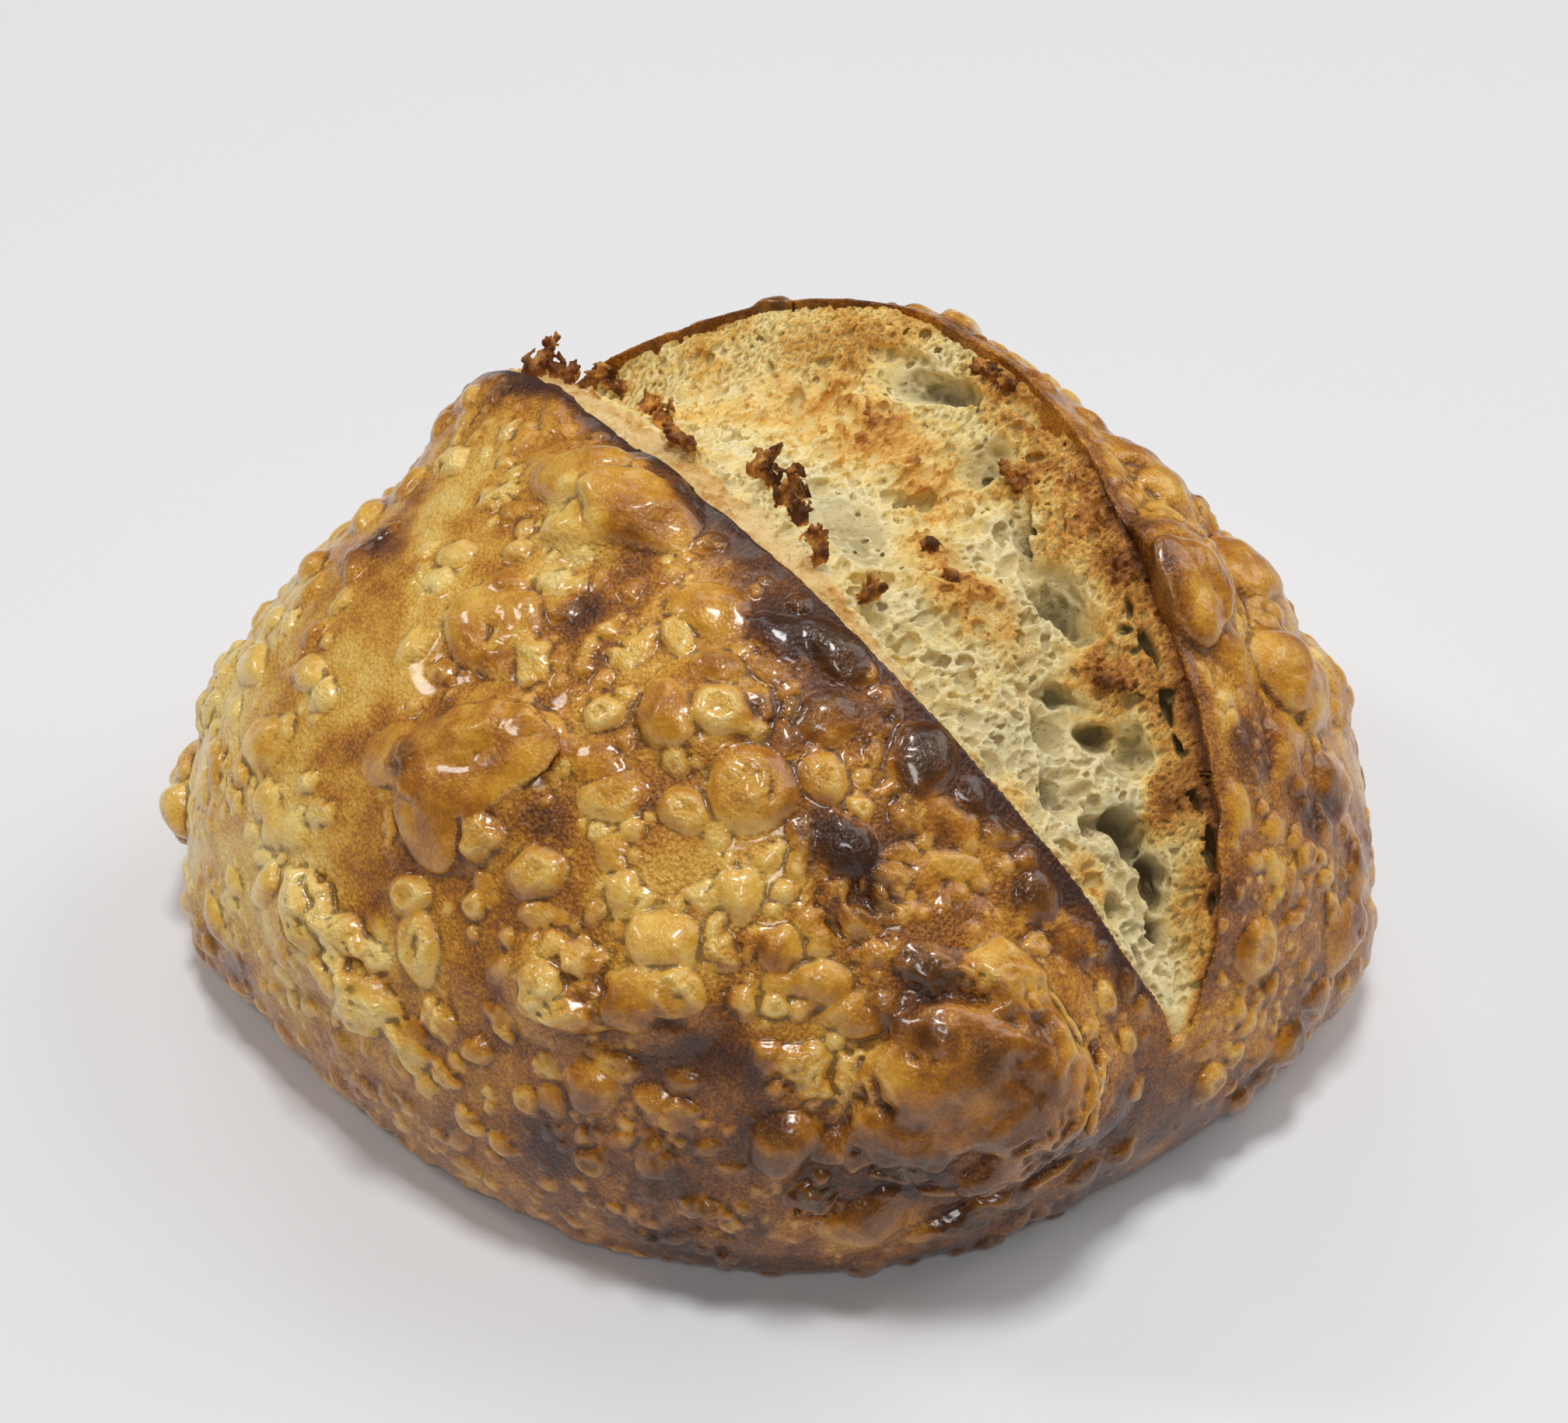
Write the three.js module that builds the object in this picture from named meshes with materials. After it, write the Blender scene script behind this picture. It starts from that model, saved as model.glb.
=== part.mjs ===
// A round sourdough loaf in millimetres, +Z up, standing on its flat base.
// +X runs along the score towards its low front end. -Y is the slab, the side that lifts into
// the ear, and +Y is the far side, which ends at the score in the rim.
import * as THREE from "three";

// The loaf's plan: a rounded square, skewed a little so that no two corners are alike.
const LENGTH = 192;
const WIDTH = 196;
const CORNER = 2.65; // exponent of the plan's curve, 2 is an ellipse
const SKEW_REACH = 100; // the skews are shares of the radius this far from the middle
const DIAGONAL_SKEW = 0.021;
const NOSE_SKEW = 0.033;
const SIDE_SKEW = 0.014;

// Its height: a flat base, a tucked foot up to the widest level, and the dome above.
const CROWN = 101;
const WAIST = 18; // height of the widest level
const BASE_SHARE = 0.89; // flat base as a share of the plan
const DOME_POWER = 2.02;

// The score's two lips, from its back end to its front end: along, across, up, and how far
// down its own side a lip lifts the dome. Both ends of each lip lie on the dome.
const EAR_LIP = [
  [-95, -5, 27, 8],
  [-86, -9, 57, 12],
  [-76, -14, 78, 16],
  [-66, -18, 91, 22],
  [-50, -17, 97, 32],
  [-11, -19, 100, 38],
  [14, -19, 99.5, 38],
  [31, -19, 97, 38],
  [46, -17, 91, 36],
  [61, -14, 82.5, 32],
  [74, -9, 70.5, 28],
  [85, -4, 56, 20],
  [92, 1, 41, 12],
  [95, 2, 31, 8],
];
const RIM_LIP = [
  [-95, -1, 27, 8],
  [-86, 2, 56, 12],
  [-74, 12, 76, 20],
  [-60, 24, 87, 26],
  [-45, 36, 95, 30],
  [-24, 47, 99.5, 32],
  [0, 50, 99, 32],
  [20, 47.5, 96.5, 32],
  [38, 41, 92.5, 30],
  [53, 35, 88, 28],
  [63, 31, 82.5, 26],
  [73, 27, 73.5, 22],
  [82, 22, 62, 18],
  [89, 16, 51, 14],
  [92, 10, 41, 10],
  [95, 4, 32, 8],
];
const LEAST_GAP = 12; // facets keep the two lines this far apart where the score has closed
const CUT_WIDTH = 7; // the torn edge of the ear
const CUT_DROP = 5;
const BAND_WIDTH = 17; // the torn band inside the rim
const BAND_DROP = 7;
const CLOSED_GAP = 3; // lips this near have no drop between them
const FULL_OPENING = 28; // lips this far apart have the whole drop
const LIP_SHARE = 0.6; // a lip keeps within this share of the half width
const NOSE_WIDTH = 20; // the lips' lift fades in between these half widths
const FULL_WIDTH = 45;

// Bulges of the crust: x, y, z of the middle, radius and how far it stands out.
const SLAB_BULGES = [
  [-10, -29, 98, 13, 3.5], // smooth, beside the ear
  [-22, -30, 97, 10, 2],
  [58, -20, 84, 8, 4], // dark dome under the lip
  [45, -30, 89, 7, 2.5],
  [8, -72, 74, 16, 3], // broad, half way down
  [32, -44, 88, 10, 3],
  [45, -46, 83, 8, 3],
  [14, -78, 67, 8, 2.5],
  [50, -65, 67, 8, 3.5],
  [39, -80, 55, 10, 4], // a group of crinkled blisters
  [54, -70, 58, 10, 4],
  [50, -80, 42, 9, 4],
  [60, -74, 41, 8, 3],
  [60, -77, 31, 8, 3],
  [-12, -97, 40, 11, 2.5], // low on the near side
  [1, -96, 39, 10, 2.5],
  [13, -95, 37, 9, 2.5],
  [68, -39, 71, 9, 2],
  [73, -22, 71, 7, 2.5],
  [-46, -53, 81, 9, 2],
  [-63, -46, 74, 9, 3],
  [-67, -56, 66, 8, 3],
  [-66, -76, 45, 10, 2.5],
  [-74, -76, 8, 17, 3.5], // the foot, wider at the near back corner
  [-50, -92, 7, 16, 3],
];
const FRONT_BULGES = [
  [88, -31, 43, 22, 7], // the largest, on the front corner
  [79, -34, 60, 14, 3],
  [94, -16, 33, 11, 4],
  [75, -62, 37, 9, 5],
  [81, -56, 32, 9, 5],
  [71, -59, 52, 8, 3.5],
  [76, -54, 50, 8, 3.5],
  [80, -47, 49, 8, 3.5],
];
const FAR_BULGES = [
  [52, 42, 86, 12, 5], // oval, beyond the rim
  [47, 48, 84, 10, 3],
  [65, 57, 66, 10, 3],
  [30, 62, 82, 12, 3],
  [50, 66, 70, 12, 3],
  [63, 72, 54, 10, 3],
  [92, 52, 26, 9, 3],
  [97, 30, 20, 9, 3],
  [90, 57, 14, 13, 2.5],
  [20, 88, 50, 12, 3],
  [-20, 82, 62, 12, 2.5],
];
const BACK_BULGES = [
  [-72, -84, 22, 11, 5], // low on the near back corner
  [-88, -30, 44, 11, 3],
  [-90, 22, 36, 12, 3],
  [-72, 58, 48, 12, 3],
  [-60, 76, 26, 10, 3],
  [-76, 30, 62, 9, 2.5],
];

// Facets.
const STATION_STEP = 6.2;
const BELLY_STEPS = 4;
const FOOT_STEPS = 4;
const SLAB_STEPS = 26;
const BLOOM_STEPS = 22;
const FAR_STEPS = 22;
const DENSE = 240; // points of a line before it is divided into facets

const half = LENGTH / 2;
const smooth = (from, to, x) => THREE.MathUtils.smoothstep((x - from) / (to - from), 0, 1);

// A line through the rows of a lip: value `k` at `along`, by cubic Hermite segments.
function onLip(lip, along, k) {
  const last = lip.length - 1;
  const u = THREE.MathUtils.clamp(along, lip[0][0], lip[last][0]);
  let i = 0;
  while (i < last - 1 && lip[i + 1][0] < u) i++;
  const slope = (j) => {
    const a = lip[Math.max(j - 1, 0)];
    const b = lip[Math.min(j + 1, last)];
    return (b[k] - a[k]) / (b[0] - a[0]);
  };
  const [p, q] = [lip[i], lip[i + 1]];
  const h = q[0] - p[0];
  const t = (u - p[0]) / h;
  const [t2, t3] = [t * t, t * t * t];
  const start = (2 * t3 - 3 * t2 + 1) * p[k] + (t3 - 2 * t2 + t) * h * slope(i);
  return start + (3 * t2 - 2 * t3) * q[k] + (t3 - t2) * h * slope(i + 1);
}

// Share of the way from the middle of the plan to its edge.
function share(u, v) {
  return (Math.abs(u / half) ** CORNER + Math.abs((2 * v) / WIDTH) ** CORNER) ** (1 / CORNER);
}

// Half width of the plan at `u`, scaled to a share of the plan.
function halfWidth(u, scale = 1) {
  const left = scale ** CORNER - Math.abs(u / half) ** CORNER;
  return left > 0 ? (WIDTH / 2) * left ** (1 / CORNER) : 0;
}

function domeHeight(u, v) {
  const fall = Math.max(1 - share(u, v) ** DOME_POWER, 0);
  return WAIST + (CROWN - WAIST) * Math.sqrt(fall);
}

function footHeight(u, v) {
  const out = THREE.MathUtils.clamp((share(u, v) - BASE_SHARE) / (1 - BASE_SHARE), 0, 1);
  return WAIST * (1 - Math.sqrt(1 - out * out));
}

function skewed([u, v, z]) {
  const [a, b] = [u / SKEW_REACH, v / SKEW_REACH];
  const nose = a * a * a - 3 * a * b * b;
  const side = 3 * a * a * b - b * b * b;
  const k = 1 + DIAGONAL_SKEW * 2 * a * b + NOSE_SKEW * nose + SIDE_SKEW * side;
  return new THREE.Vector3(u * k, v * k, z);
}

// `count` + 1 points at equal steps along a dense line of [v, z].
function evenly(line, count) {
  const run = [0];
  for (let i = 1; i < line.length; i++) {
    run.push(run[i - 1] + Math.hypot(line[i][0] - line[i - 1][0], line[i][1] - line[i - 1][1]));
  }
  const made = [];
  let i = 1;
  for (let n = 0; n <= count; n++) {
    const at = (run[run.length - 1] * n) / count;
    while (i < line.length - 1 && run[i] < at) i++;
    const t = (at - run[i - 1]) / (run[i] - run[i - 1] || 1);
    made.push([
      line[i - 1][0] + t * (line[i][0] - line[i - 1][0]),
      line[i - 1][1] + t * (line[i][1] - line[i - 1][1]),
    ]);
  }
  return made;
}

function sampled(count, point) {
  return Array.from({ length: count + 1 }, (_, n) => point(n / count));
}

// Where the two lips stand across the loaf at `u`, how high they are above the dome, how far
// they lift it and how much of the drop there is between them.
function lipsAt(u) {
  const w = halfWidth(u);
  const most = LIP_SHARE * w;
  let ear = THREE.MathUtils.clamp(onLip(EAR_LIP, u, 1), -most, most);
  let rim = THREE.MathUtils.clamp(onLip(RIM_LIP, u, 1), -most, most);
  const opening = smooth(CLOSED_GAP, FULL_OPENING, rim - ear);
  const short = Math.min(LEAST_GAP, 0.4 * w) - (rim - ear);
  if (short > 0) {
    ear -= short / 2;
    rim += short / 2;
  }
  const fade = smooth(NOSE_WIDTH, FULL_WIDTH, w);
  const earLift = fade * (onLip(EAR_LIP, u, 2) - domeHeight(u, ear));
  const rimLift = fade * (onLip(RIM_LIP, u, 2) - domeHeight(u, rim));
  const earReach = onLip(EAR_LIP, u, 3);
  const rimReach = onLip(RIM_LIP, u, 3);
  return { ear, rim, earLift, rimLift, earReach, rimReach, opening };
}

// One side of the section, from the middle of the base out and up to the lip.
function flank(u, sign, lip, lift, reach, steps) {
  const w = halfWidth(u);
  const foot = Math.max(halfWidth(u, BASE_SHARE), 0.45 * w);
  const belly = sampled(BELLY_STEPS, (t) => [sign * foot * t, footHeight(u, foot * t)]);
  const tuck = sampled(DENSE, (t) => {
    const v = foot + (w - foot) * Math.sin((t * Math.PI) / 2);
    return [sign * v, footHeight(u, v)];
  });
  const top = Math.asin(THREE.MathUtils.clamp((sign * lip) / w, -1, 1));
  const rise = sampled(DENSE, (t) => {
    const v = w * Math.sin(Math.PI / 2 + t * (top - Math.PI / 2));
    return [sign * v, domeHeight(u, v) + lift * smooth(reach, 0, Math.abs(sign * v - lip))];
  });
  return [belly, evenly(tuck, FOOT_STEPS).slice(1), evenly(rise, steps).slice(1)].flat();
}

// The torn surface between the lips.
function bloom(u, { ear, rim, earLift, rimLift, opening }) {
  const gap = rim - ear;
  const cut = Math.min(CUT_WIDTH, 0.3 * gap);
  const band = Math.min(BAND_WIDTH, 0.35 * gap);
  const line = sampled(DENSE, (t) => {
    const v = ear + gap * t;
    const [past, short] = [v - ear, rim - v];
    const lifts = earLift * smooth(2 * cut, 0, past) + rimLift * smooth(2 * band, 0, short);
    const cutDrop = CUT_DROP * smooth(0, cut, past) * smooth(0.75 * gap, cut, past);
    const bandDrop = BAND_DROP * smooth(0, band, short) * smooth(0.6 * gap, band, short);
    return [v, domeHeight(u, v) + lifts - opening * (cutDrop + bandDrop)];
  });
  return evenly(line, BLOOM_STEPS);
}

function section(u) {
  const lips = lipsAt(u);
  const near = flank(u, -1, lips.ear, lips.earLift, lips.earReach, SLAB_STEPS);
  const middle = bloom(u, lips).slice(1, -1);
  const far = flank(u, 1, lips.rim, lips.rimLift, lips.rimReach, FAR_STEPS);
  return [near, middle, far.reverse().slice(0, -1)].flat().map(([v, z]) => skewed([u, v, z]));
}

// Stations at equal steps round the plan's edge, so they crowd where it turns.
function stations() {
  const edge = sampled(16 * DENSE, (t) => {
    const u = -half * Math.cos(Math.PI * t);
    return [u, halfWidth(u)];
  });
  const run = edge.reduce((sum, p, i) => {
    return i ? sum + Math.hypot(p[0] - edge[i - 1][0], p[1] - edge[i - 1][1]) : 0;
  }, 0);
  const count = Math.round(run / STATION_STEP);
  return evenly(edge, count).slice(1, -1).map((p) => p[0]);
}

// Pushes each vertex out along its normal by the bulges it is in.
function raiseBulges(geometry) {
  const bulges = [SLAB_BULGES, FRONT_BULGES, FAR_BULGES, BACK_BULGES].flat();
  const position = geometry.getAttribute("position");
  const normal = geometry.getAttribute("normal");
  for (let i = 0; i < position.count; i++) {
    const point = new THREE.Vector3().fromBufferAttribute(position, i);
    const out = new THREE.Vector3().fromBufferAttribute(normal, i);
    let rise = 0;
    for (const [x, y, z, radius, height] of bulges) {
      const away = point.distanceTo(new THREE.Vector3(x, y, z)) / radius;
      const dome = Math.max(1 - away * away, 0);
      rise = Math.hypot(rise, height * dome ** 0.75);
    }
    point.addScaledVector(out, rise);
    position.setXYZ(i, point.x, point.y, Math.max(point.z, 0));
  }
  geometry.computeVertexNormals();
}

function loafGeometry() {
  const rings = stations().map(section);
  const size = rings[0].length;
  const points = rings.flat();
  const back = points.push(skewed([-half, 0, WAIST])) - 1;
  const front = points.push(skewed([half, 0, WAIST])) - 1;
  const index = [];
  const last = (rings.length - 1) * size;
  for (let j = 0; j < size; j++) {
    const k = (j + 1) % size;
    index.push(back, j, k, front, last + k, last + j);
    for (let i = 0; i < rings.length - 1; i++) {
      const [a, b, c, d] = [i * size + j, i * size + k, (i + 1) * size + k, (i + 1) * size + j];
      const level = points[a].distanceTo(points[c]) < points[b].distanceTo(points[d]);
      index.push(...(level ? [a, c, b, a, d, c] : [a, d, b, b, d, c]));
    }
  }
  const geometry = new THREE.BufferGeometry().setFromPoints(points);
  geometry.setIndex(index);
  geometry.computeVertexNormals();
  raiseBulges(geometry);
  geometry.computeBoundingBox();
  const middle = geometry.boundingBox.getCenter(new THREE.Vector3());
  return geometry.translate(-middle.x, -middle.y, 0);
}

const crust = new THREE.MeshStandardMaterial({ color: 0xb5792f, roughness: 0.55 });
const loaf = new THREE.Mesh(loafGeometry(), crust);
loaf.name = "loaf";

const part = new THREE.Group();
part.name = "sourdough_loaf";
part.add(loaf);

export default part;
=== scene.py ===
"""A round sourdough loaf: blistered crust, one long score opened into an ear and a torn bloom."""

import math
from types import SimpleNamespace

import bpy
import numpy as np
import openvdb as vdb
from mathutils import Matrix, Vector
from mathutils.bvhtree import BVHTree


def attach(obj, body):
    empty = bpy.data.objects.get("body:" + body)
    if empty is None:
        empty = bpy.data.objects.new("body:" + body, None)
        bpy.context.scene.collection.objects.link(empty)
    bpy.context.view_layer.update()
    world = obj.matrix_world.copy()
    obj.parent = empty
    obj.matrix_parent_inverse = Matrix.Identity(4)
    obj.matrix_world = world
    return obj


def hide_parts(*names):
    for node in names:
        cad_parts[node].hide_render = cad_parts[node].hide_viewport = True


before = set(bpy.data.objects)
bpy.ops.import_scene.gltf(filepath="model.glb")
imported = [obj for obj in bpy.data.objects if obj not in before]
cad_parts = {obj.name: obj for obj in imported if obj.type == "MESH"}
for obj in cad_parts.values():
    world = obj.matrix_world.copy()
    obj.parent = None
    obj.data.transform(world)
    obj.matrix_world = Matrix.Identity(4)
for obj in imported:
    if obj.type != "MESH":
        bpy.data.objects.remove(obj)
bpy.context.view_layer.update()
MM = 0.001
TINY = 1e-6


# ---------------------------------------------------------------------------------------------
# Camera. Millimetres in the row's frame.

IMAGE_WIDTH, IMAGE_HEIGHT = 2016, 1829
READ_WIDTH = 2000  # the landmarks' pixels are read in a view this many pixels wide
AZIMUTH, ELEVATION = 51, 40
DISTANCE = 520
FOCAL_PIXELS = 3700
TARGET = np.array([-3.25, 0.5, 45.0])
SENSOR = 36

ROUND_BY, UP_BY = math.radians(AZIMUTH), math.radians(ELEVATION)
LEVEL = math.cos(UP_BY)
BACK = np.array([math.sin(ROUND_BY) * LEVEL, -math.cos(ROUND_BY) * LEVEL, math.sin(UP_BY)])
RIGHT = np.array([math.cos(ROUND_BY), math.sin(ROUND_BY), 0.0])
UP = np.cross(BACK, RIGHT)
EYE = TARGET + BACK * DISTANCE


def sight(px, py):
    """Unit direction from the eye through a pixel of the view."""
    k = IMAGE_WIDTH / READ_WIDTH
    across = (px * k - IMAGE_WIDTH / 2) / FOCAL_PIXELS
    down = (py * k - IMAGE_HEIGHT / 2) / FOCAL_PIXELS
    ray = across * RIGHT - down * UP - BACK
    return ray / np.linalg.norm(ray)


# ---------------------------------------------------------------------------------------------
# The loaf's form, as in the CAD part.

LENGTH, WIDTH, CORNER = 192, 196, 2.65
SKEW_REACH, DIAGONAL_SKEW, NOSE_SKEW, SIDE_SKEW = 100, 0.021, 0.033, 0.014
CROWN, WAIST, BASE_SHARE, DOME_POWER = 101, 18, 0.89, 2.02
CENTRE = np.array([3.45, -1.9, 0.0])  # middle of the form's box, taken off to centre it
EAR_LIP = np.array([
    [-95, -5, 27, 8], [-86, -9, 57, 12], [-76, -14, 78, 16], [-66, -18, 91, 22],
    [-50, -17, 97, 32], [-11, -19, 100, 38], [14, -19, 99.5, 38], [31, -19, 97, 38],
    [46, -17, 91, 36], [61, -14, 82.5, 32], [74, -9, 70.5, 28], [85, -4, 56, 20],
    [92, 1, 41, 12], [95, 2, 31, 8],
])
RIM_LIP = np.array([
    [-95, -1, 27, 8], [-86, 2, 56, 12], [-74, 12, 76, 20], [-60, 24, 87, 26],
    [-45, 36, 95, 30], [-24, 47, 99.5, 32], [0, 50, 99, 32], [20, 47.5, 96.5, 32],
    [38, 41, 92.5, 30], [53, 35, 88, 28], [63, 31, 82.5, 26], [73, 27, 73.5, 22],
    [82, 22, 62, 18], [89, 16, 51, 14], [92, 10, 41, 10], [95, 4, 32, 8],
])
LEAST_GAP, LIP_SHARE, NOSE_WIDTH, FULL_WIDTH = 12, 0.6, 20, 45
BAND_WIDTH = 17
SWELLINGS = np.array([  # x, y, z of the middle, radius and rise, in the form's own place
    [-10, -29, 98, 13, 3.5], [-22, -30, 97, 10, 2], [8, -72, 74, 16, 3], [32, -44, 88, 10, 3],
    [39, -80, 55, 10, 3], [54, -70, 58, 10, 3], [-12, -97, 40, 11, 2.5], [1, -96, 39, 10, 2.5],
    [-66, -76, 45, 10, 2.5], [-74, -76, 8, 17, 3.5], [-50, -92, 7, 16, 3],
    [88, -31, 43, 22, 7], [79, -34, 60, 14, 3], [94, -16, 33, 11, 4],
    [52, 42, 86, 12, 5], [47, 48, 84, 10, 3], [65, 57, 66, 10, 3], [30, 62, 82, 12, 3],
    [50, 66, 70, 12, 3], [63, 72, 54, 10, 3], [90, 57, 14, 13, 2.5], [20, 88, 50, 12, 3],
    [-20, 82, 62, 12, 2.5], [-72, -84, 22, 11, 5], [-88, -30, 44, 11, 3], [-90, 22, 36, 12, 3],
    [-72, 58, 48, 12, 3], [-60, 76, 26, 10, 3],
])
UNPLACED_REACH, UNPLACED_STEPS = 112, 7  # farthest from the middle, and steps of the search
EDGE_POINTS, ARC_POINTS, BELLY_POINTS, TUCK_STEPS = 4000, 400, 25, 18
EAR_STEPS, RIM_STEPS, TOP_POINTS = 90, 80, 42
FORM_STEP = 1.6


def smooth(start, end, x):
    t = np.clip((x - start) / (end - start), 0, 1)
    return t * t * (3 - 2 * t)


def on_lip(lip, along, k):
    """Column `k` of a lip at `along`, by cubic Hermite segments."""
    x, y = lip[:, 0], lip[:, k]
    last = len(lip) - 1
    u = np.clip(along, x[0], x[last])
    i = np.clip(np.searchsorted(x, u, side="left") - 1, 0, last - 1)
    before, after = np.maximum(np.arange(last + 1) - 1, 0), np.minimum(np.arange(last + 1) + 1, last)
    slope = (y[after] - y[before]) / (x[after] - x[before])
    h = x[i + 1] - x[i]
    t = (u - x[i]) / h
    t2, t3 = t * t, t * t * t
    start = (2 * t3 - 3 * t2 + 1) * y[i] + (t3 - 2 * t2 + t) * h * slope[i]
    return start + (3 * t2 - 2 * t3) * y[i + 1] + (t3 - t2) * h * slope[i + 1]


def share(u, v):
    p = np.abs(2 * u / LENGTH) ** CORNER + np.abs(2 * v / WIDTH) ** CORNER
    return p ** (1 / CORNER)


def half_width(u, scale=1.0):
    left = scale**CORNER - np.abs(2 * u / LENGTH) ** CORNER
    return WIDTH / 2 * np.maximum(left, 0) ** (1 / CORNER)


def dome_height(u, v):
    return WAIST + (CROWN - WAIST) * np.sqrt(np.maximum(1 - share(u, v) ** DOME_POWER, 0))


def foot_height(u, v):
    out = np.clip((share(u, v) - BASE_SHARE) / (1 - BASE_SHARE), 0, 1)
    return WAIST * (1 - np.sqrt(1 - out * out))


def skew(u, v):
    a, b = u / SKEW_REACH, v / SKEW_REACH
    nose, side = a**3 - 3 * a * b * b, 3 * a * a * b - b**3
    return 1 + DIAGONAL_SKEW * 2 * a * b + NOSE_SKEW * nose + SIDE_SKEW * side


def placed(u, v, z):
    """Points of the form, skewed and centred as the CAD part is."""
    k = skew(u, v)
    return np.stack(np.broadcast_arrays(u * k, v * k, z), -1) - CENTRE


def unplaced(x, y):
    """The form's own `u` and `v` under points of the row's frame."""
    x, y = (np.clip(at + off, -UNPLACED_REACH, UNPLACED_REACH) for at, off in zip((x, y), CENTRE))
    u, v = x, y
    for _ in range(UNPLACED_STEPS):
        k = np.clip(skew(u, v), 0.8, 1.2)
        u, v = x / k, y / k
    return u, v


def lips_at(u, least_gap=LEAST_GAP):
    w = half_width(u)
    most = LIP_SHARE * w
    ear = np.clip(on_lip(EAR_LIP, u, 1), -most, most)
    rim = np.clip(on_lip(RIM_LIP, u, 1), -most, most)
    spread = np.maximum(np.minimum(least_gap, 0.4 * w) - (rim - ear), 0) / 2
    ear, rim = ear - spread, rim + spread
    fade = smooth(NOSE_WIDTH, FULL_WIDTH, w)
    ear_lift = fade * (on_lip(EAR_LIP, u, 2) - dome_height(u, ear))
    rim_lift = fade * (on_lip(RIM_LIP, u, 2) - dome_height(u, rim))
    return ear, rim, ear_lift, rim_lift


def evenly(line, count):
    """A line's points at equal steps along it."""
    run = np.concatenate([[0], np.cumsum(np.hypot(*np.diff(line, axis=0).T))])
    at = np.linspace(0, run[-1], count + 1)
    return np.stack([np.interp(at, run, line[:, 0]), np.interp(at, run, line[:, 1])], 1)


def flank(u, sign, lip, lift, reach, steps):
    """One side of a section: out along the base, round the tucked foot and up to a lip."""
    t = np.linspace(0, 1, ARC_POINTS)
    w = half_width(u)
    foot = max(half_width(u, BASE_SHARE), 0.45 * w)
    v = foot * np.linspace(0, 1, BELLY_POINTS)
    belly = np.stack([sign * v, foot_height(u, v)], 1)
    v = foot + (w - foot) * np.sin(t * math.pi / 2)
    tuck = np.stack([sign * v, foot_height(u, v)], 1)
    top = math.asin(np.clip(sign * lip / max(w, TINY), -1, 1))
    v = w * np.sin(math.pi / 2 + t * (top - math.pi / 2))
    height = dome_height(u, v) + lift * smooth(reach, 0, np.abs(sign * v - lip))
    rise = np.stack([sign * v, height], 1)
    return np.concatenate([belly, evenly(tuck, TUCK_STEPS)[1:], evenly(rise, steps)[1:]])


def section(u):
    """One closed section of the loaf with the score filled, as points across and up."""
    ear, rim, ear_lift, rim_lift = (float(x) for x in lips_at(u))
    near = flank(u, -1, ear, ear_lift, float(on_lip(EAR_LIP, u, 3)), EAR_STEPS)
    far = flank(u, 1, rim, rim_lift, float(on_lip(RIM_LIP, u, 3)), RIM_STEPS)
    v = np.linspace(ear, rim, TOP_POINTS)
    z = dome_height(u, v) + ear_lift + (rim_lift - ear_lift) * (v - ear) / (rim - ear)
    return np.concatenate([near, np.stack([v, z], 1)[1:-1], far[::-1][:-1]])


def loaf_mesh():
    """The sections joined into one closed mesh, without the swellings."""
    half = LENGTH / 2
    edge = -half * np.cos(math.pi * np.linspace(0, 1, EDGE_POINTS))
    edge = np.stack([edge, half_width(edge)], 1)
    count = int(np.hypot(*np.diff(edge, axis=0).T).sum() / FORM_STEP)
    rings = []
    for u in evenly(edge, count)[1:-1, 0]:
        line = section(u)
        rings.append(placed(u, line[:, 0], line[:, 1]))
    size = len(rings[0])
    points = np.concatenate(rings + [placed(np.array([-half, half]), 0.0, float(WAIST))])
    back, front = len(points) - 2, len(points) - 1
    i, j = np.meshgrid(np.arange(len(rings) - 1), np.arange(size), indexing="ij")
    a, b = i * size + j, i * size + (j + 1) % size
    quads = np.stack([a, b, b + size, a + size], -1).reshape(-1, 4)
    j = np.arange(size)
    k = (j + 1) % size
    last = (len(rings) - 1) * size
    caps = np.concatenate([
        np.stack([np.full(size, back), k, j], 1),
        np.stack([np.full(size, front), last + j, last + k], 1),
    ])
    tris = np.concatenate([quads[:, [0, 1, 2]], quads[:, [0, 2, 3]], caps])
    return points, tris


def vertex_normals(points, tris):
    a, b, c = (points[tris[:, k]] for k in range(3))
    face = np.cross(b - a, c - a)
    out = np.zeros_like(points)
    for k in range(3):
        for axis in range(3):
            out[:, axis] += np.bincount(tris[:, k], face[:, axis], len(points))
    return out / np.maximum(np.linalg.norm(out, axis=1, keepdims=True), 1e-9)


def outward(points, tris):
    """Triangles with their faces turned out, by the sign of the enclosed volume."""
    a, b, c = (points[tris[:, k]] for k in range(3))
    return tris if np.einsum("ij,ij->", a, np.cross(b, c)) > 0 else tris[:, ::-1]


def swell(points, tris):
    """The points moved out by the swellings, and none of them under the base."""
    normals = vertex_normals(points, tris)
    rise = np.zeros(len(points))
    for x, y, z, radius, height in SWELLINGS:
        away = np.linalg.norm(points + CENTRE - (x, y, z), axis=1) / radius
        rise = np.hypot(rise, height * np.maximum(1 - away**2, 0) ** 0.75)
    moved = points + normals * rise[:, None]
    moved[:, 2] = np.maximum(moved[:, 2], 0)
    return moved


def form_mesh():
    points, tris = loaf_mesh()
    tris = outward(points, tris)
    return swell(points, tris), tris


def tree_of(points, tris):
    return BVHTree.FromPolygons(points.tolist(), tris.tolist())


# ---------------------------------------------------------------------------------------------
# Noise: values on an integer lattice, joined by quadratic splines.

AXIS_PRIMES, SEED_PRIME = (73856093, 19349663, 83492791), 668265263
SCRAMBLE = ((15, 0x2C1B3C6D), (12, 0x297A2D39))
WORD = 0xFFFFFFFF
NOISE_GAIN = 2.4  # brings the joined values back to about -1 to 1


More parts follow.
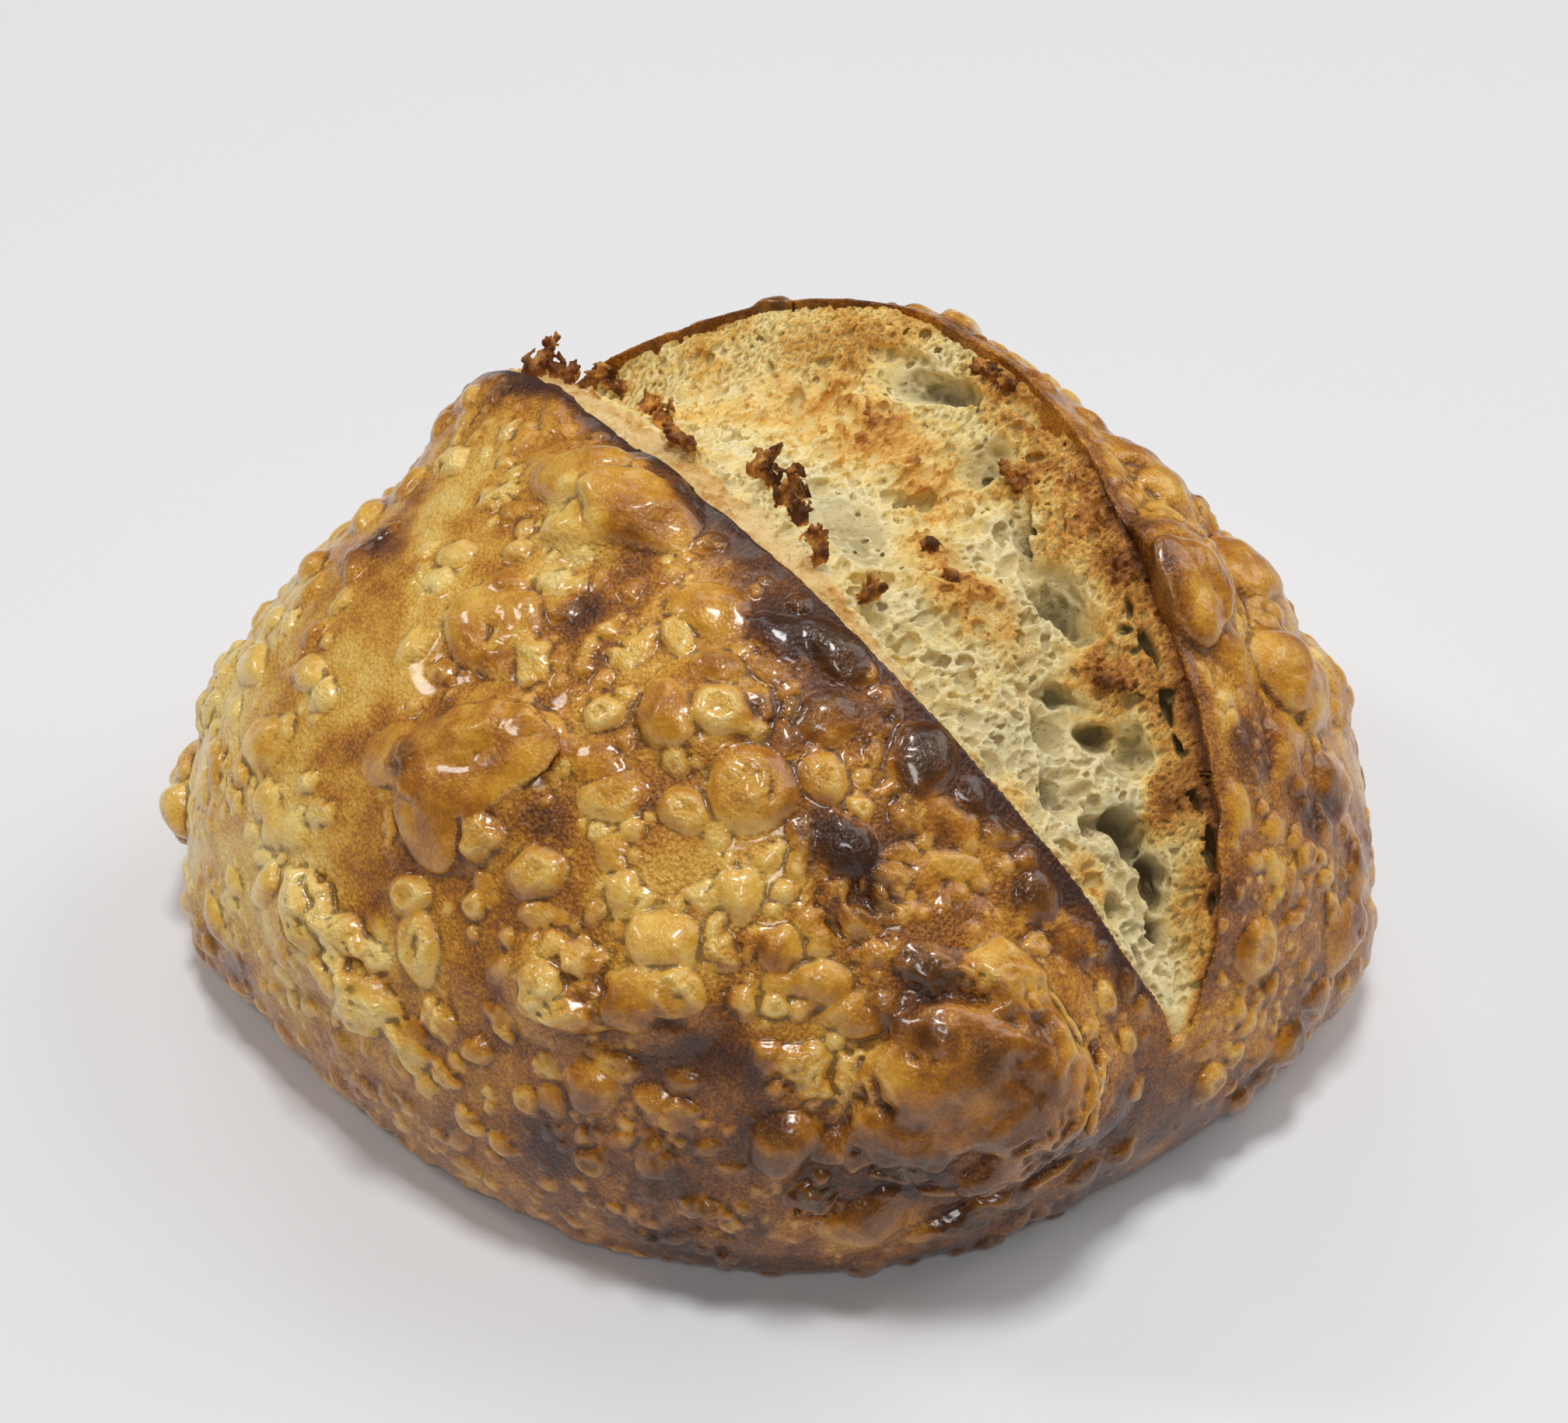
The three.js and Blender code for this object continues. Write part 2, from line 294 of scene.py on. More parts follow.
def lattice(i, j, k, seed):
    """A number from -1 to 1 for each point of the lattice, the same each time."""
    x, y, z = (n.astype(np.int64) * prime for n, prime in zip((i, j, k), AXIS_PRIMES))
    h = ((x ^ y ^ z) + seed * SEED_PRIME) & WORD
    for shift, factor in SCRAMBLE:
        h = ((h ^ (h >> shift)) * factor) & WORD
    return (((h ^ (h >> 15)) & WORD) / 2.0**31 - 1.0).astype(np.float32)


def spline(f):
    """Weights of the three lattice points round a place."""
    return 0.5 * (0.5 - f) ** 2, 0.75 - f * f, 0.5 * (0.5 + f) ** 2


def noise_at(points, wave, seed):
    """Noise of about -1 to 1 at scattered points."""
    t = np.asarray(points, np.float32) / np.asarray(wave, np.float32)
    i = np.rint(t)
    w = spline(t - i)
    i = i.astype(np.int64)
    total = 0
    for a, b, c in np.ndindex(3, 3, 3):
        weight = w[a][:, 0] * w[b][:, 1] * w[c][:, 2]
        total = total + weight * lattice(i[:, 0] + a, i[:, 1] + b, i[:, 2] + c, seed)
    return total * NOISE_GAIN


def grid_noise(axes, wave, seed):
    """The same noise on a grid, given its three axes."""
    wave = np.broadcast_to(np.asarray(wave, float), 3)
    maps, starts = [], []
    for axis, length in zip(axes, wave):
        t = axis / length
        i = np.rint(t)
        w = spline(t - i)
        i = i.astype(int)
        start = i.min()
        table = np.zeros((len(axis), i.max() - start + 3), np.float32)
        for a in range(3):
            table[np.arange(len(axis)), i - start + a] = w[a]
        maps.append(table)
        starts.append(start + np.arange(table.shape[1]))
    i, j, k = np.meshgrid(*starts, indexing="ij")
    values = lattice(i, j, k, seed)
    values = np.tensordot(maps[0], values, (1, 0))
    values = np.tensordot(values, maps[1], (1, 1)).transpose(0, 2, 1)
    return np.tensordot(values, maps[2], (2, 1)) * NOISE_GAIN


# ---------------------------------------------------------------------------------------------
# Distance fields.

SURFACE_BAND, FORM_BAND = 3.0, 4.0  # how far from a surface its distances are kept


class Field:
    """Signed distances in millimetres on a dense grid, negative inside."""

    def __init__(self, low, high, step):
        self.step = step
        self.base = np.floor(np.array(low) / step).astype(int)
        self.size = np.ceil(np.array(high) / step).astype(int) - self.base + 1
        self.values = np.zeros(self.size, np.float32)
        self.origin = {"ijk": tuple(int(b) for b in self.base)}

    def axes(self, window=None):
        spans = window or [slice(0, n) for n in self.size]
        return [(b + np.arange(s.start, s.stop)) * self.step for b, s in zip(self.base, spans)]

    def window(self, centre, reach):
        low = np.floor((centre - reach) / self.step).astype(int) - self.base
        high = np.ceil((centre + reach) / self.step).astype(int) - self.base + 1
        low, high = np.clip(low, 0, self.size), np.clip(high, 0, self.size)
        return tuple(slice(a, b) for a, b in zip(low, high))

    def at(self, points):
        """Distances at scattered points, between those of the cells round them."""
        t = np.asarray(points) / self.step - self.base
        t = np.clip(t, 0, self.size - 1.001)
        i = np.floor(t).astype(int)
        f = (t - i).astype(np.float32)
        total = 0
        for corner in np.ndindex(2, 2, 2):
            w = [f[:, k] if s else 1 - f[:, k] for k, s in enumerate(corner)]
            total = total + w[0] * w[1] * w[2] * self.values[tuple((i + corner).T)]
        return total

    def slope(self, points, reach):
        """The directions in which the distances grow, as normals of the surface."""
        out = np.empty_like(points)
        for k in range(3):
            d = np.zeros(3)
            d[k] = reach
            out[:, k] = self.at(points + d) - self.at(points - d)
        return out / np.maximum(np.linalg.norm(out, axis=1, keepdims=True), 1e-9)

    def from_mesh(self, points, tris):
        move = vdb.createLinearTransform(voxelSize=self.step)
        grid = vdb.FloatGrid.createLevelSetFromPolygons(
            points.astype(np.float32),
            triangles=tris.astype(np.uint32),
            transform=move,
            halfWidth=FORM_BAND / self.step,
        )
        grid.copyToArray(self.values, **self.origin)

    def polygons(self):
        grid = vdb.FloatGrid(SURFACE_BAND)
        grid.gridClass = vdb.GridClass.LEVEL_SET
        grid.transform = vdb.createLinearTransform(voxelSize=self.step)
        grid.copyFromArray(np.clip(self.values, -SURFACE_BAND, SURFACE_BAND), **self.origin)
        points, tris, quads = grid.convertToPolygons(0.0, 0.0)
        tris = np.concatenate([tris.reshape(-1, 3), quads[:, [0, 1, 2]], quads[:, [0, 2, 3]]])
        return points.astype(float), tris.astype(int)


def blend(a, b, k):
    """Smooth least of two distances."""
    h = np.maximum(k - np.abs(a - b), 0) / k
    return np.minimum(a, b) - h * h * k / 4


def offsets(axes, point):
    """How far a grid's cells are from a point along each axis."""
    return [axes[k].reshape([-1 if n == k else 1 for n in range(3)]) - point[k] for k in range(3)]


# ---------------------------------------------------------------------------------------------
# Blisters and hollows.

ROUND, WINDOW, CRINKLE, LOW, DENT = range(5)
UNEVEN = {ROUND: 1.0, WINDOW: 0.8, CRINKLE: 1.5, LOW: 1.6, DENT: 1.5}
TALLER = {WINDOW: 1.12, CRINKLE: 1.05}
LOBES = ((2, 0.11), (3, 0.09), (5, 0.05))  # waves round a lump's outline, and the most they add
LUMP_REACH = 1.32  # in radii, with the lobes
OWN_REACH = 0.15  # mm from a lump's surface, where points still count as its own
LEAST_FACING = 0.68  # so that a lump on a steep place isn't stretched without end
FILM_SHIFT, FILM_LEAN, FILM_CURVE = 0.45, 0.8, 0.9  # of the faces of crumpled film


def creased(x, y, size, seed):
    """Crumpled film over a plane: small leaning faces that meet in sharp folds, -0.5 to 0.5."""
    fine = size / 8
    reach = max(np.abs(x).max(), np.abs(y).max()) + fine
    line = np.arange(-reach, reach + 2 * fine, fine) / size
    a, b = np.meshgrid(line, line, indexing="ij")
    a, b = a + 0.25 * np.sin(1.9 * b + seed), b + 0.25 * np.sin(2.3 * a + 2 * seed)
    i, j = np.floor(a), np.floor(b)
    high, low = np.full(a.shape, -9.0), np.full(a.shape, 9.0)
    for di, dj in np.ndindex(3, 3):
        cell = i + (di - 1), j + (dj - 1), 0 * i
        da = a - cell[0] - 0.5 - FILM_SHIFT * lattice(*cell, seed)
        db = b - cell[1] - 0.5 - FILM_SHIFT * lattice(*cell, seed + 1)
        plane = FILM_LEAN * (da * lattice(*cell, seed + 2) + db * lattice(*cell, seed + 3))
        curve = FILM_CURVE * (da * da + db * db)
        high = np.maximum(high, plane - curve)
        low = np.minimum(low, plane + curve)
    sheet = (high + low).astype(np.float32)
    s, t = (x + reach) / fine, (y + reach) / fine
    i, j = s.astype(int), t.astype(int)
    s, t = s - i, t - j
    near = sheet[i, j] * (1 - t) + sheet[i, j + 1] * t
    return near * (1 - s) + (sheet[i + 1, j] * (1 - t) + sheet[i + 1, j + 1] * t) * s


class Lump:
    """A lobed ellipsoid: a dome on the crust, perhaps slack or crumpled, or a hollow cut out of the crumb."""

    def __init__(self, centre, axes, radii, kind, tone, rng, joint):
        self.centre, self.axes, self.radii = centre, axes, np.array(radii, float)
        self.kind, self.tone, self.joint = kind, tone, joint
        self.radii[2] *= TALLER.get(kind, 1.0)
        self.lobes = []
        for waves, most in LOBES:
            self.lobes.append((waves, UNEVEN[kind] * most * rng.uniform(0.3, 1), rng.uniform(0, 6.3)))
        self.seed = int(rng.integers(1, 10**6))
        self.dish = rng.uniform(-0.3, 0.3, 4)
        self.reach = max(self.radii) * LUMP_REACH + joint + 0.8

    def distance(self, axes):
        """Signed distances from the lump's surface on a grid, given its three axes."""
        d = offsets(axes, self.centre)
        s, t, h = (sum(d[k] * axis[k] for k in range(3)) for axis in self.axes)
        a, b, c = self.radii
        s, t, h = s / a, t / b, h / c
        turn = np.arctan2(t, s)
        wide = 1 + sum(amp * np.cos(n * turn + phase) for n, amp, phase in self.lobes)
        s, t = s / wide, t / wide
        k0 = np.sqrt(s * s + t * t + h * h)
        k1 = np.sqrt((s / a) ** 2 + (t / b) ** 2 + (h / c) ** 2)
        out = k0 * (k0 - 1) / np.maximum(k1, TINY)
        size = min(a, b)

        def film(fold):
            return creased(s * a, t * b, fold, self.seed)

        if self.kind == WINDOW:
            # A slack top: a wide, shallow dish off the middle, creased where its film has shrunk.
            ds, dt, depth, spread = self.dish
            r = (s - ds) ** 2 + (t - dt) ** 2
            dish = h - 0.72 - 0.2 * depth - (0.38 + 0.3 * spread) * r
            top = c * dish + 0.07 * size * film(max(0.55 * size, 1.3))
            out = np.maximum(out, np.where(h > 0, top, -9))
        if self.kind == CRINKLE:
            out = out - 0.22 * size * film(max(0.8 * size, 1.7)) * smooth(-0.2, 0.5, h)
        if self.kind in (ROUND, LOW):
            out = out + 0.06 * size * grid_noise(axes, size * 0.8, self.seed + 3)
            if size > 2.5:
                out = out - 0.07 * size * film(0.8 * size)
        if self.kind == DENT and size > 1.5:
            walls = 0.45 * np.abs(grid_noise(axes, 1.9, self.seed + 6))
            walls = walls + 0.2 * np.abs(grid_noise(axes, 1.0, self.seed + 7))
            out = out + 0.2 - walls
        return out


def stamp(field, owner, number, lump, cut=False):
    """Adds a lump to a field or cuts it out, and writes its number on the cells at its surface."""
    window = field.window(lump.centre, lump.reach)
    if any(s.stop - s.start < 2 for s in window):
        return
    block = field.values[window]
    d = lump.distance(field.axes(window)).astype(np.float32)
    if cut:
        block[:] = -blend(-block, d, lump.joint)
        if owner is not None:
            owner[window][-d > block - OWN_REACH] = number
    else:
        owner[window][d < block + OWN_REACH] = number
        block[:] = blend(block, d, lump.joint)


def tangents(normal, toward):
    """Three square axes on a surface, the first as near to `toward` as it can be."""
    toward = toward - normal * (toward @ normal)
    e1 = toward / np.linalg.norm(toward)
    return np.array([e1, np.cross(normal, e1), normal])


def turned(normal, turn):
    """Axes on a surface, the first turned clockwise in the view from its right by `turn` degrees."""
    a = math.radians(turn)
    look = math.cos(a) * RIGHT - math.sin(a) * UP
    return tangents(normal, look - normal * (look @ normal) + TINY * UP)


def seen(tree, px, py):
    """Where the line of sight through a pixel meets a surface."""
    hit, normal, _, far = tree.ray_cast(Vector(EYE), Vector(sight(px, py)))
    if hit is None:
        return None
    normal = np.array(normal)
    return np.array(hit), normal if normal @ BACK > 0 else -normal, far


def place(tree, px, py, long, wide, turn, tall, kind, tone, rng, joint, lift):
    """A lump that covers an ellipse of the view: half lengths in pixels, turn in degrees."""
    found = seen(tree, px, py)
    if found is None:
        return None
    point, normal, far = found
    scale = IMAGE_WIDTH / READ_WIDTH * far / FOCAL_PIXELS
    axes = turned(normal, turn)
    sizes = []
    for axis, length in zip(axes[:2], (long, wide)):
        flat = axis - BACK * (axis @ BACK)
        sizes.append(length * scale / max(np.linalg.norm(flat), LEAST_FACING))
    height = tall * min(sizes)
    return Lump(point + normal * lift * height, axes, (*sizes, height), kind, tone, rng, joint)


# Landmarks of the crust in the view: px, py, half length, half width (pixels), turn (degrees),
# height as a share of the half width, kind, tone (-1 pale to 1 dark).
NEAR_MARKS = [
    (660, 702, 18, 15, 0, 0.7, ROUND, -0.5), (644, 746, 30, 20, 20, 0.6, ROUND, 0.4),
    (670, 774, 20, 17, 60, 0.7, ROUND, -0.1), (631, 821, 16, 15, 0, 0.6, CRINKLE, -0.8),
    (678, 838, 32, 25, 60, 0.6, CRINKLE, -0.5), (708, 742, 24, 14, 10, 0.6, CRINKLE, -0.3),
    (734, 748, 18, 13, 0, 0.6, ROUND, -0.2), (804, 754, 15, 15, 0, 0.6, ROUND, 0),
    (908, 778, 54, 36, 30, 0.45, ROUND, 0.0), (864, 812, 29, 17, 65, 0.65, WINDOW, -0.6),
    (828, 810, 14, 13, 0, 0.6, ROUND, -0.1), (774, 804, 16, 12, 0, 0.6, ROUND, -0.2),
    (744, 850, 14, 12, 0, 0.6, ROUND, -0.4), (770, 866, 13, 11, 0, 0.6, ROUND, -0.4),
    (796, 840, 22, 14, 20, 0.55, CRINKLE, -0.3), (772, 910, 26, 23, 0, 0.7, WINDOW, -0.9),
    (798, 888, 14, 14, 0, 0.8, ROUND, -0.6), (846, 908, 46, 34, 60, 0.55, ROUND, 0.15),
    (918, 904, 39, 29, 0, 0.62, WINDOW, -0.3), (916, 848, 30, 22, 40, 0.55, ROUND, 0.3),
    (972, 892, 20, 17, 0, 0.5, CRINKLE, 0.1), (982, 856, 28, 15, 15, 0.5, ROUND, 0.6),
    (998, 812, 40, 23, 15, 0.5, LOW, 0.8), (1070, 832, 56, 30, 58, 0.6, ROUND, 0.85),
    (1108, 857, 16, 11, 65, 0.8, WINDOW, -0.2), (1120, 880, 7, 5, 40, 0.8, ROUND, -0.2),
    (1056, 916, 42, 33, 20, 0.6, ROUND, 0.35), (1100, 914, 26, 20, 0, 0.4, LOW, 0.2),
    (1127, 910, 7, 6, 0, 0.7, ROUND, 0.1), (1176, 972, 54, 44, 45, 0.62, ROUND, 0.9),
    (1190, 946, 9, 8, 0, 1.2, ROUND, 0.6), (1241, 1014, 26, 19, 40, 0.5, ROUND, 0.7),
    (862, 972, 20, 17, 90, 0.7, WINDOW, -0.5), (762, 972, 26, 20, 0, 0.35, LOW, -0.1),
    (718, 976, 16, 15, 0, 0.55, CRINKLE, -0.5), (780, 1018, 44, 28, 5, 0.55, WINDOW, 0.0),
    (874, 1034, 34, 29, 30, 0.6, WINDOW, -0.1), (956, 1006, 60, 52, 60, 0.55, WINDOW, 0.15),
    (1050, 992, 33, 28, 50, 0.6, WINDOW, 0.1), (1098, 1030, 18, 15, 30, 0.7, WINDOW, -0.2),
    (1127, 1008, 8, 7, 0, 0.7, ROUND, 0), (1158, 1040, 28, 21, 40, 0.55, CRINKLE, 0),
    (1202, 1046, 30, 22, 30, 0.35, LOW, 0.1), (1020, 1084, 38, 17, 95, 0.6, CRINKLE, 0.6),
    (1078, 1080, 38, 32, 80, 0.6, LOW, 0.8), (1072, 1132, 13, 11, 60, 0.8, WINDOW, 0),
    (1140, 1126, 34, 26, 60, 0.7, CRINKLE, -0.2), (1096, 1174, 34, 20, 0, 0.7, ROUND, -0.1),
    (1136, 1160, 30, 16, 0, 0.6, CRINKLE, 0), (1156, 1088, 18, 14, 20, 0.5, WINDOW, -0.1),
    (1216, 1104, 36, 17, 10, 0.6, WINDOW, -0.2), (1250, 1124, 16, 12, 40, 0.8, ROUND, 0.1),
    (762, 1060, 12, 11, 0, 0.8, WINDOW, -0.5), (612, 1066, 34, 26, 60, 0.75, CRINKLE, -0.7),
    (686, 1114, 38, 33, 0, 0.6, WINDOW, -0.2), (692, 1168, 34, 16, 15, 0.5, CRINKLE, -0.3),
    (796, 1138, 27, 23, 70, 0.7, ROUND, -0.1), (788, 1100, 11, 9, 0, 0.6, ROUND, 0),
    (808, 1092, 9, 8, 0, 0.6, ROUND, 0), (900, 1140, 26, 18, 0, 0.5, CRINKLE, 0),
    (944, 1140, 36, 28, 70, 0.65, ROUND, 0.2), (1000, 1138, 17, 14, 0, 0.8, ROUND, 0.2),
    (1020, 1158, 8, 8, 0, 0.8, ROUND, 0.2), (846, 1194, 46, 42, 0, 0.62, ROUND, -0.1),
    (916, 1210, 32, 23, 80, 0.55, CRINKLE, 0.1), (993, 1212, 32, 28, 60, 0.65, ROUND, 0.35),
    (648, 1196, 13, 12, 0, 0.9, ROUND, -0.5), (636, 1232, 20, 17, 0, 0.75, ROUND, 0.2),
    (916, 1064, 20, 14, 80, 0.5, WINDOW, 0.3), (976, 1096, 18, 14, 0, 0.5, ROUND, 0.5),
]
FRONT_MARKS = [
    (947, 1277, 21, 19, 60, 0.8, ROUND, 0.1), (989, 1282, 19, 18, 0, 0.8, WINDOW, -0.1),
    (1050, 1256, 38, 32, 10, 0.65, ROUND, 0.2), (1086, 1288, 40, 36, 20, 0.6, ROUND, 0.1),
    (1186, 1238, 46, 27, 25, 0.6, ROUND, 0.4), (1283, 1240, 50, 36, 10, 0.5, CRINKLE, 0.1),
    (1321, 1205, 18, 16, 0, 0.7, WINDOW, -0.3), (1185, 1322, 44, 36, 45, 0.6, ROUND, 0.5),
    (978, 1348, 24, 22, 50, 0.8, ROUND, 0.1), (1030, 1362, 40, 34, 0, 0.65, CRINKLE, -0.1),
    (1084, 1372, 34, 22, 90, 0.65, CRINKLE, -0.1), (1141, 1372, 44, 40, 60, 0.62, ROUND, 0.1),
    (1022, 1287, 17, 15, 0, 0.7, ROUND, 0.0), (1228, 1399, 16, 13, 10, 1.1, ROUND, 0.1),
    (1000, 1460, 46, 42, 0, 0.8, ROUND, -0.1), (1072, 1466, 46, 32, 10, 0.7, ROUND, 0.0),
    (1047, 1500, 14, 13, 0, 0.9, ROUND, 0.1), (1040, 1530, 38, 24, 10, 0.5, CRINKLE, 0.7),
    (1105, 1555, 60, 32, -15, 0.6, ROUND, 0.2), (1130, 1524, 22, 12, -25, 0.8, ROUND, 0.2),
    (1408, 1274, 24, 17, 60, 0.8, WINDOW, -0.3), (1440, 1254, 18, 12, 60, 0.8, ROUND, -0.1),
    (1457, 1284, 16, 10, 60, 0.8, ROUND, -0.1), (1362, 1200, 26, 24, 0, 0.35, LOW, 0.6),
    (1324, 1144, 35, 30, 50, 0.65, ROUND, 0.5), (1310, 1096, 18, 16, 40, 0.8, ROUND, 0.3),
    (1284, 1104, 12, 11, 0, 0.8, ROUND, 0.2), (1272, 1062, 20, 16, 40, 0.6, ROUND, 0.5),
    (1390, 1183, 7, 7, 0, 0.8, ROUND, 0.4), (902, 1464, 20, 12, -20, 0.7, ROUND, 0.2),
    (934, 1490, 20, 9, 0, 0.7, ROUND, 0.2), (894, 1540, 24, 20, 0, 0.6, CRINKLE, 0),
    (927, 1558, 18, 17, 0, 0.6, WINDOW, 0), (925, 1606, 18, 13, 10, 0.6, CRINKLE, 0.2),
    (1092, 1216, 9, 8, 0, 0.8, ROUND, 0.2), (1243, 1185, 10, 9, 0, 0.6, ROUND, 0.1),
    (1235, 1385, 122, 88, 30, 0.52, ROUND, 0.2), (1335, 1400, 92, 62, 75, 0.5, ROUND, 0.15),
    (1310, 1290, 66, 46, 55, 0.5, ROUND, 0.2), (1170, 1450, 84, 44, 0, 0.5, ROUND, 0.1),
    (1300, 1478, 80, 26, -30, 0.6, ROUND, 0.1), (1250, 1545, 84, 20, -18, 0.7, ROUND, 0.25),
    (1125, 1288, 24, 22, 0, 0.6, ROUND, 0.4), (1380, 1500, 30, 16, -40, 0.6, ROUND, 0.2),
    (1430, 1470, 22, 14, -40, 0.6, ROUND, 0.0),
]
LEFT_MARKS = [
    (578, 589, 28, 18, -30, 0.6, CRINKLE, -0.4), (524, 618, 28, 16, -65, 0.6, ROUND, -0.3),
    (470, 659, 30, 24, -20, 0.75, ROUND, 0.0), (400, 723, 28, 24, -60, 0.8, ROUND, 0.4),
    (583, 707, 25, 18, 0, 0.55, ROUND, -0.2), (637, 632, 30, 15, 0, 0.5, CRINKLE, -0.5),
    (628, 800, 64, 54, 60, 0.26, ROUND, 0.0), (395, 858, 26, 22, 20, 0.8, ROUND, -0.4),
    (413, 888, 24, 18, 80, 0.7, CRINKLE, -0.4), (325, 847, 30, 24, -60, 0.7, ROUND, -0.1),
    (336, 950, 36, 28, -70, 0.65, ROUND, -0.1), (365, 928, 18, 14, 80, 0.7, ROUND, -0.4),
    (395, 998, 15, 13, -30, 0.8, CRINKLE, -0.8), (341, 1020, 24, 20, 80, 0.6, ROUND, -0.4),
    (228, 1032, 32, 27, -60, 0.85, ROUND, -0.3), (262, 1005, 26, 16, 80, 0.6, ROUND, -0.2),
    (524, 1143, 30, 26, 0, 0.7, WINDOW, -0.7), (535, 1208, 48, 28, 75, 0.6, WINDOW, -0.8),
    (605, 1154, 20, 18, 60, 0.7, WINDOW, -0.4), (392, 1162, 50, 42, 70, 0.55, CRINKLE, -0.9),
    (430, 1198, 40, 32, 40, 0.5, CRINKLE, -0.8), (338, 1128, 27, 24, 0, 0.6, ROUND, -0.5),
    (466, 1284, 50, 36, 35, 0.6, CRINKLE, -0.8), (481, 1218, 26, 20, 0, 0.5, CRINKLE, -0.5),
    (320, 1062, 12, 11, 0, 0.7, ROUND, -0.5), (336, 1094, 13, 11, 0, 0.7, ROUND, -0.5),
    (298, 1123, 20, 13, 80, 0.6, ROUND, -0.3), (368, 1062, 20, 19, 0, 0.45, LOW, -0.6),
    (277, 1172, 26, 20, 20, 0.55, ROUND, 0.3), (505, 962, 42, 38, 0, 0.28, ROUND, -0.1),
    (605, 972, 108, 60, 4, 0.17, ROUND, -0.15), (590, 930, 92, 26, -4, 0.27, ROUND, -0.15),
    (672, 932, 46, 27, 15, 0.42, WINDOW, -0.3), (545, 1055, 52, 44, 40, 0.3, ROUND, -0.1),
    (745, 1222, 38, 20, -10, 0.6, CRINKLE, -0.2), (700, 1274, 52, 34, 20, 0.55, CRINKLE, -0.4),
    (812, 1276, 50, 38, -10, 0.6, ROUND, 0.0), (862, 1268, 38, 32, 20, 0.5, CRINKLE, 0.1),
    (758, 1292, 36, 28, 10, 0.55, CRINKLE, -0.3), (754, 1386, 42, 36, 0, 0.7, ROUND, 0.0),
    (790, 1360, 26, 18, 10, 0.6, WINDOW, -0.2), (610, 1340, 21, 19, 0, 0.75, ROUND, -0.3),
    (570, 1370, 19, 17, 0, 0.7, CRINKLE, -0.3), (672, 1402, 20, 18, 0, 0.7, WINDOW, -0.2),
    (850, 1414, 38, 28, 20, 0.55, CRINKLE, -0.1), (870, 1380, 22, 18, 0, 0.6, ROUND, 0.0),
    (755, 1482, 23, 20, 0, 0.7, WINDOW, 0.0), (835, 1480, 32, 26, 60, 0.65, ROUND, 0.3),
    (700, 1360, 22, 16, 0, 0.6, CRINKLE, -0.2), (520, 1330, 36, 24, 50, 0.5, CRINKLE, -0.5),
    (560, 1300, 30, 20, 50, 0.5, CRINKLE, -0.5), (640, 1300, 26, 20, 30, 0.5, CRINKLE, -0.3),
    (600, 1430, 24, 16, 30, 0.6, CRINKLE, -0.3), (640, 1460, 22, 14, 30, 0.6, ROUND, -0.1),
    (436, 765, 20, 12, -50, 0.5, ROUND, -0.2), (300, 905, 18, 12, -60, 0.6, ROUND, -0.2),
    (275, 930, 14, 10, -60, 0.7, ROUND, -0.1), (350, 790, 22, 15, -60, 0.6, ROUND, 0.1),
    (455, 715, 26, 18, -40, 0.5, LOW, 0.0),
]
EAR_MARKS = [
    (738, 602, 54, 38, 20, 0.5, ROUND, 0.25), (816, 650, 76, 48, 35, 0.42, ROUND, 0.0),
    (760, 660, 50, 30, 20, 0.36, LOW, 0.1), (850, 655, 34, 40, 0, 0.35, LOW, 0.05),
    (715, 515, 18, 30, 0, 0.35, LOW, 0.3), (1010, 905, 16, 12, 0, 0.6, CRINKLE, 0.3),
]
FAR_MARKS = [
    (1524, 745, 78, 44, 66, 0.42, ROUND, 0.3), (1448, 700, 30, 20, 60, 0.4, LOW, 0.1),
    (1440, 575, 38, 24, 45, 0.4, LOW, -0.1), (1490, 620, 34, 24, 45, 0.4, LOW, 0.0),
    (1590, 722, 54, 32, 55, 0.42, ROUND, 0.15), (1570, 830, 44, 28, 70, 0.4, LOW, 0.1),
    (1642, 852, 58, 40, 65, 0.45, ROUND, 0.15), (1680, 890, 46, 30, 70, 0.45, ROUND, 0.1),
    (1640, 950, 40, 28, 80, 0.4, LOW, 0.1), (1602, 1212, 42, 27, 75, 0.6, WINDOW, 0.0),
    (1712, 1192, 46, 34, 85, 0.55, ROUND, 0.1), (1640, 1330, 34, 26, -60, 0.7, WINDOW, -0.1),
    (1540, 1377, 23, 21, 0, 0.8, WINDOW, -0.3), (1578, 1032, 34, 16, 80, 0.6, ROUND, -0.2),
    (1600, 1100, 14, 11, 0, 0.8, ROUND, -0.2), (1665, 1088, 21, 15, 70, 0.7, WINDOW, 0.0),
    (1650, 1172, 14, 12, 0, 0.8, WINDOW, -0.1), (1580, 1290, 14, 11, 60, 0.8, ROUND, -0.1),
    (1700, 1000, 44, 26, 80, 0.45, ROUND, 0.0), (1730, 1110, 40, 20, 80, 0.5, ROUND, 0.1),
    (1560, 1250, 12, 9, 60, 0.8, ROUND, -0.2), (1620, 1260, 18, 14, 60, 0.7, ROUND, 0.0),
    (1580, 1400, 26, 18, -50, 0.7, ROUND, 0.0), (1610, 1370, 20, 15, -50, 0.7, CRINKLE, -0.1),
    (1680, 1270, 26, 18, -70, 0.6, ROUND, 0.2), (1500, 1330, 12, 10, 0, 0.8, ROUND, -0.2),
    (1610, 1030, 12, 9, 70, 0.8, ROUND, -0.2), (1655, 1000, 18, 12, 70, 0.6, ROUND, -0.1),
    (1690, 1120, 16, 12, 70, 0.6, CRINKLE, 0.1), (1560, 1180, 10, 8, 60, 0.8, ROUND, -0.1),
    (1630, 1140, 9, 8, 60, 0.8, ROUND, -0.1), (1540, 660, 26, 16, 60, 0.45, CRINKLE, 0.0),
    (1610, 790, 24, 14, 60, 0.45, CRINKLE, 0.1),
]
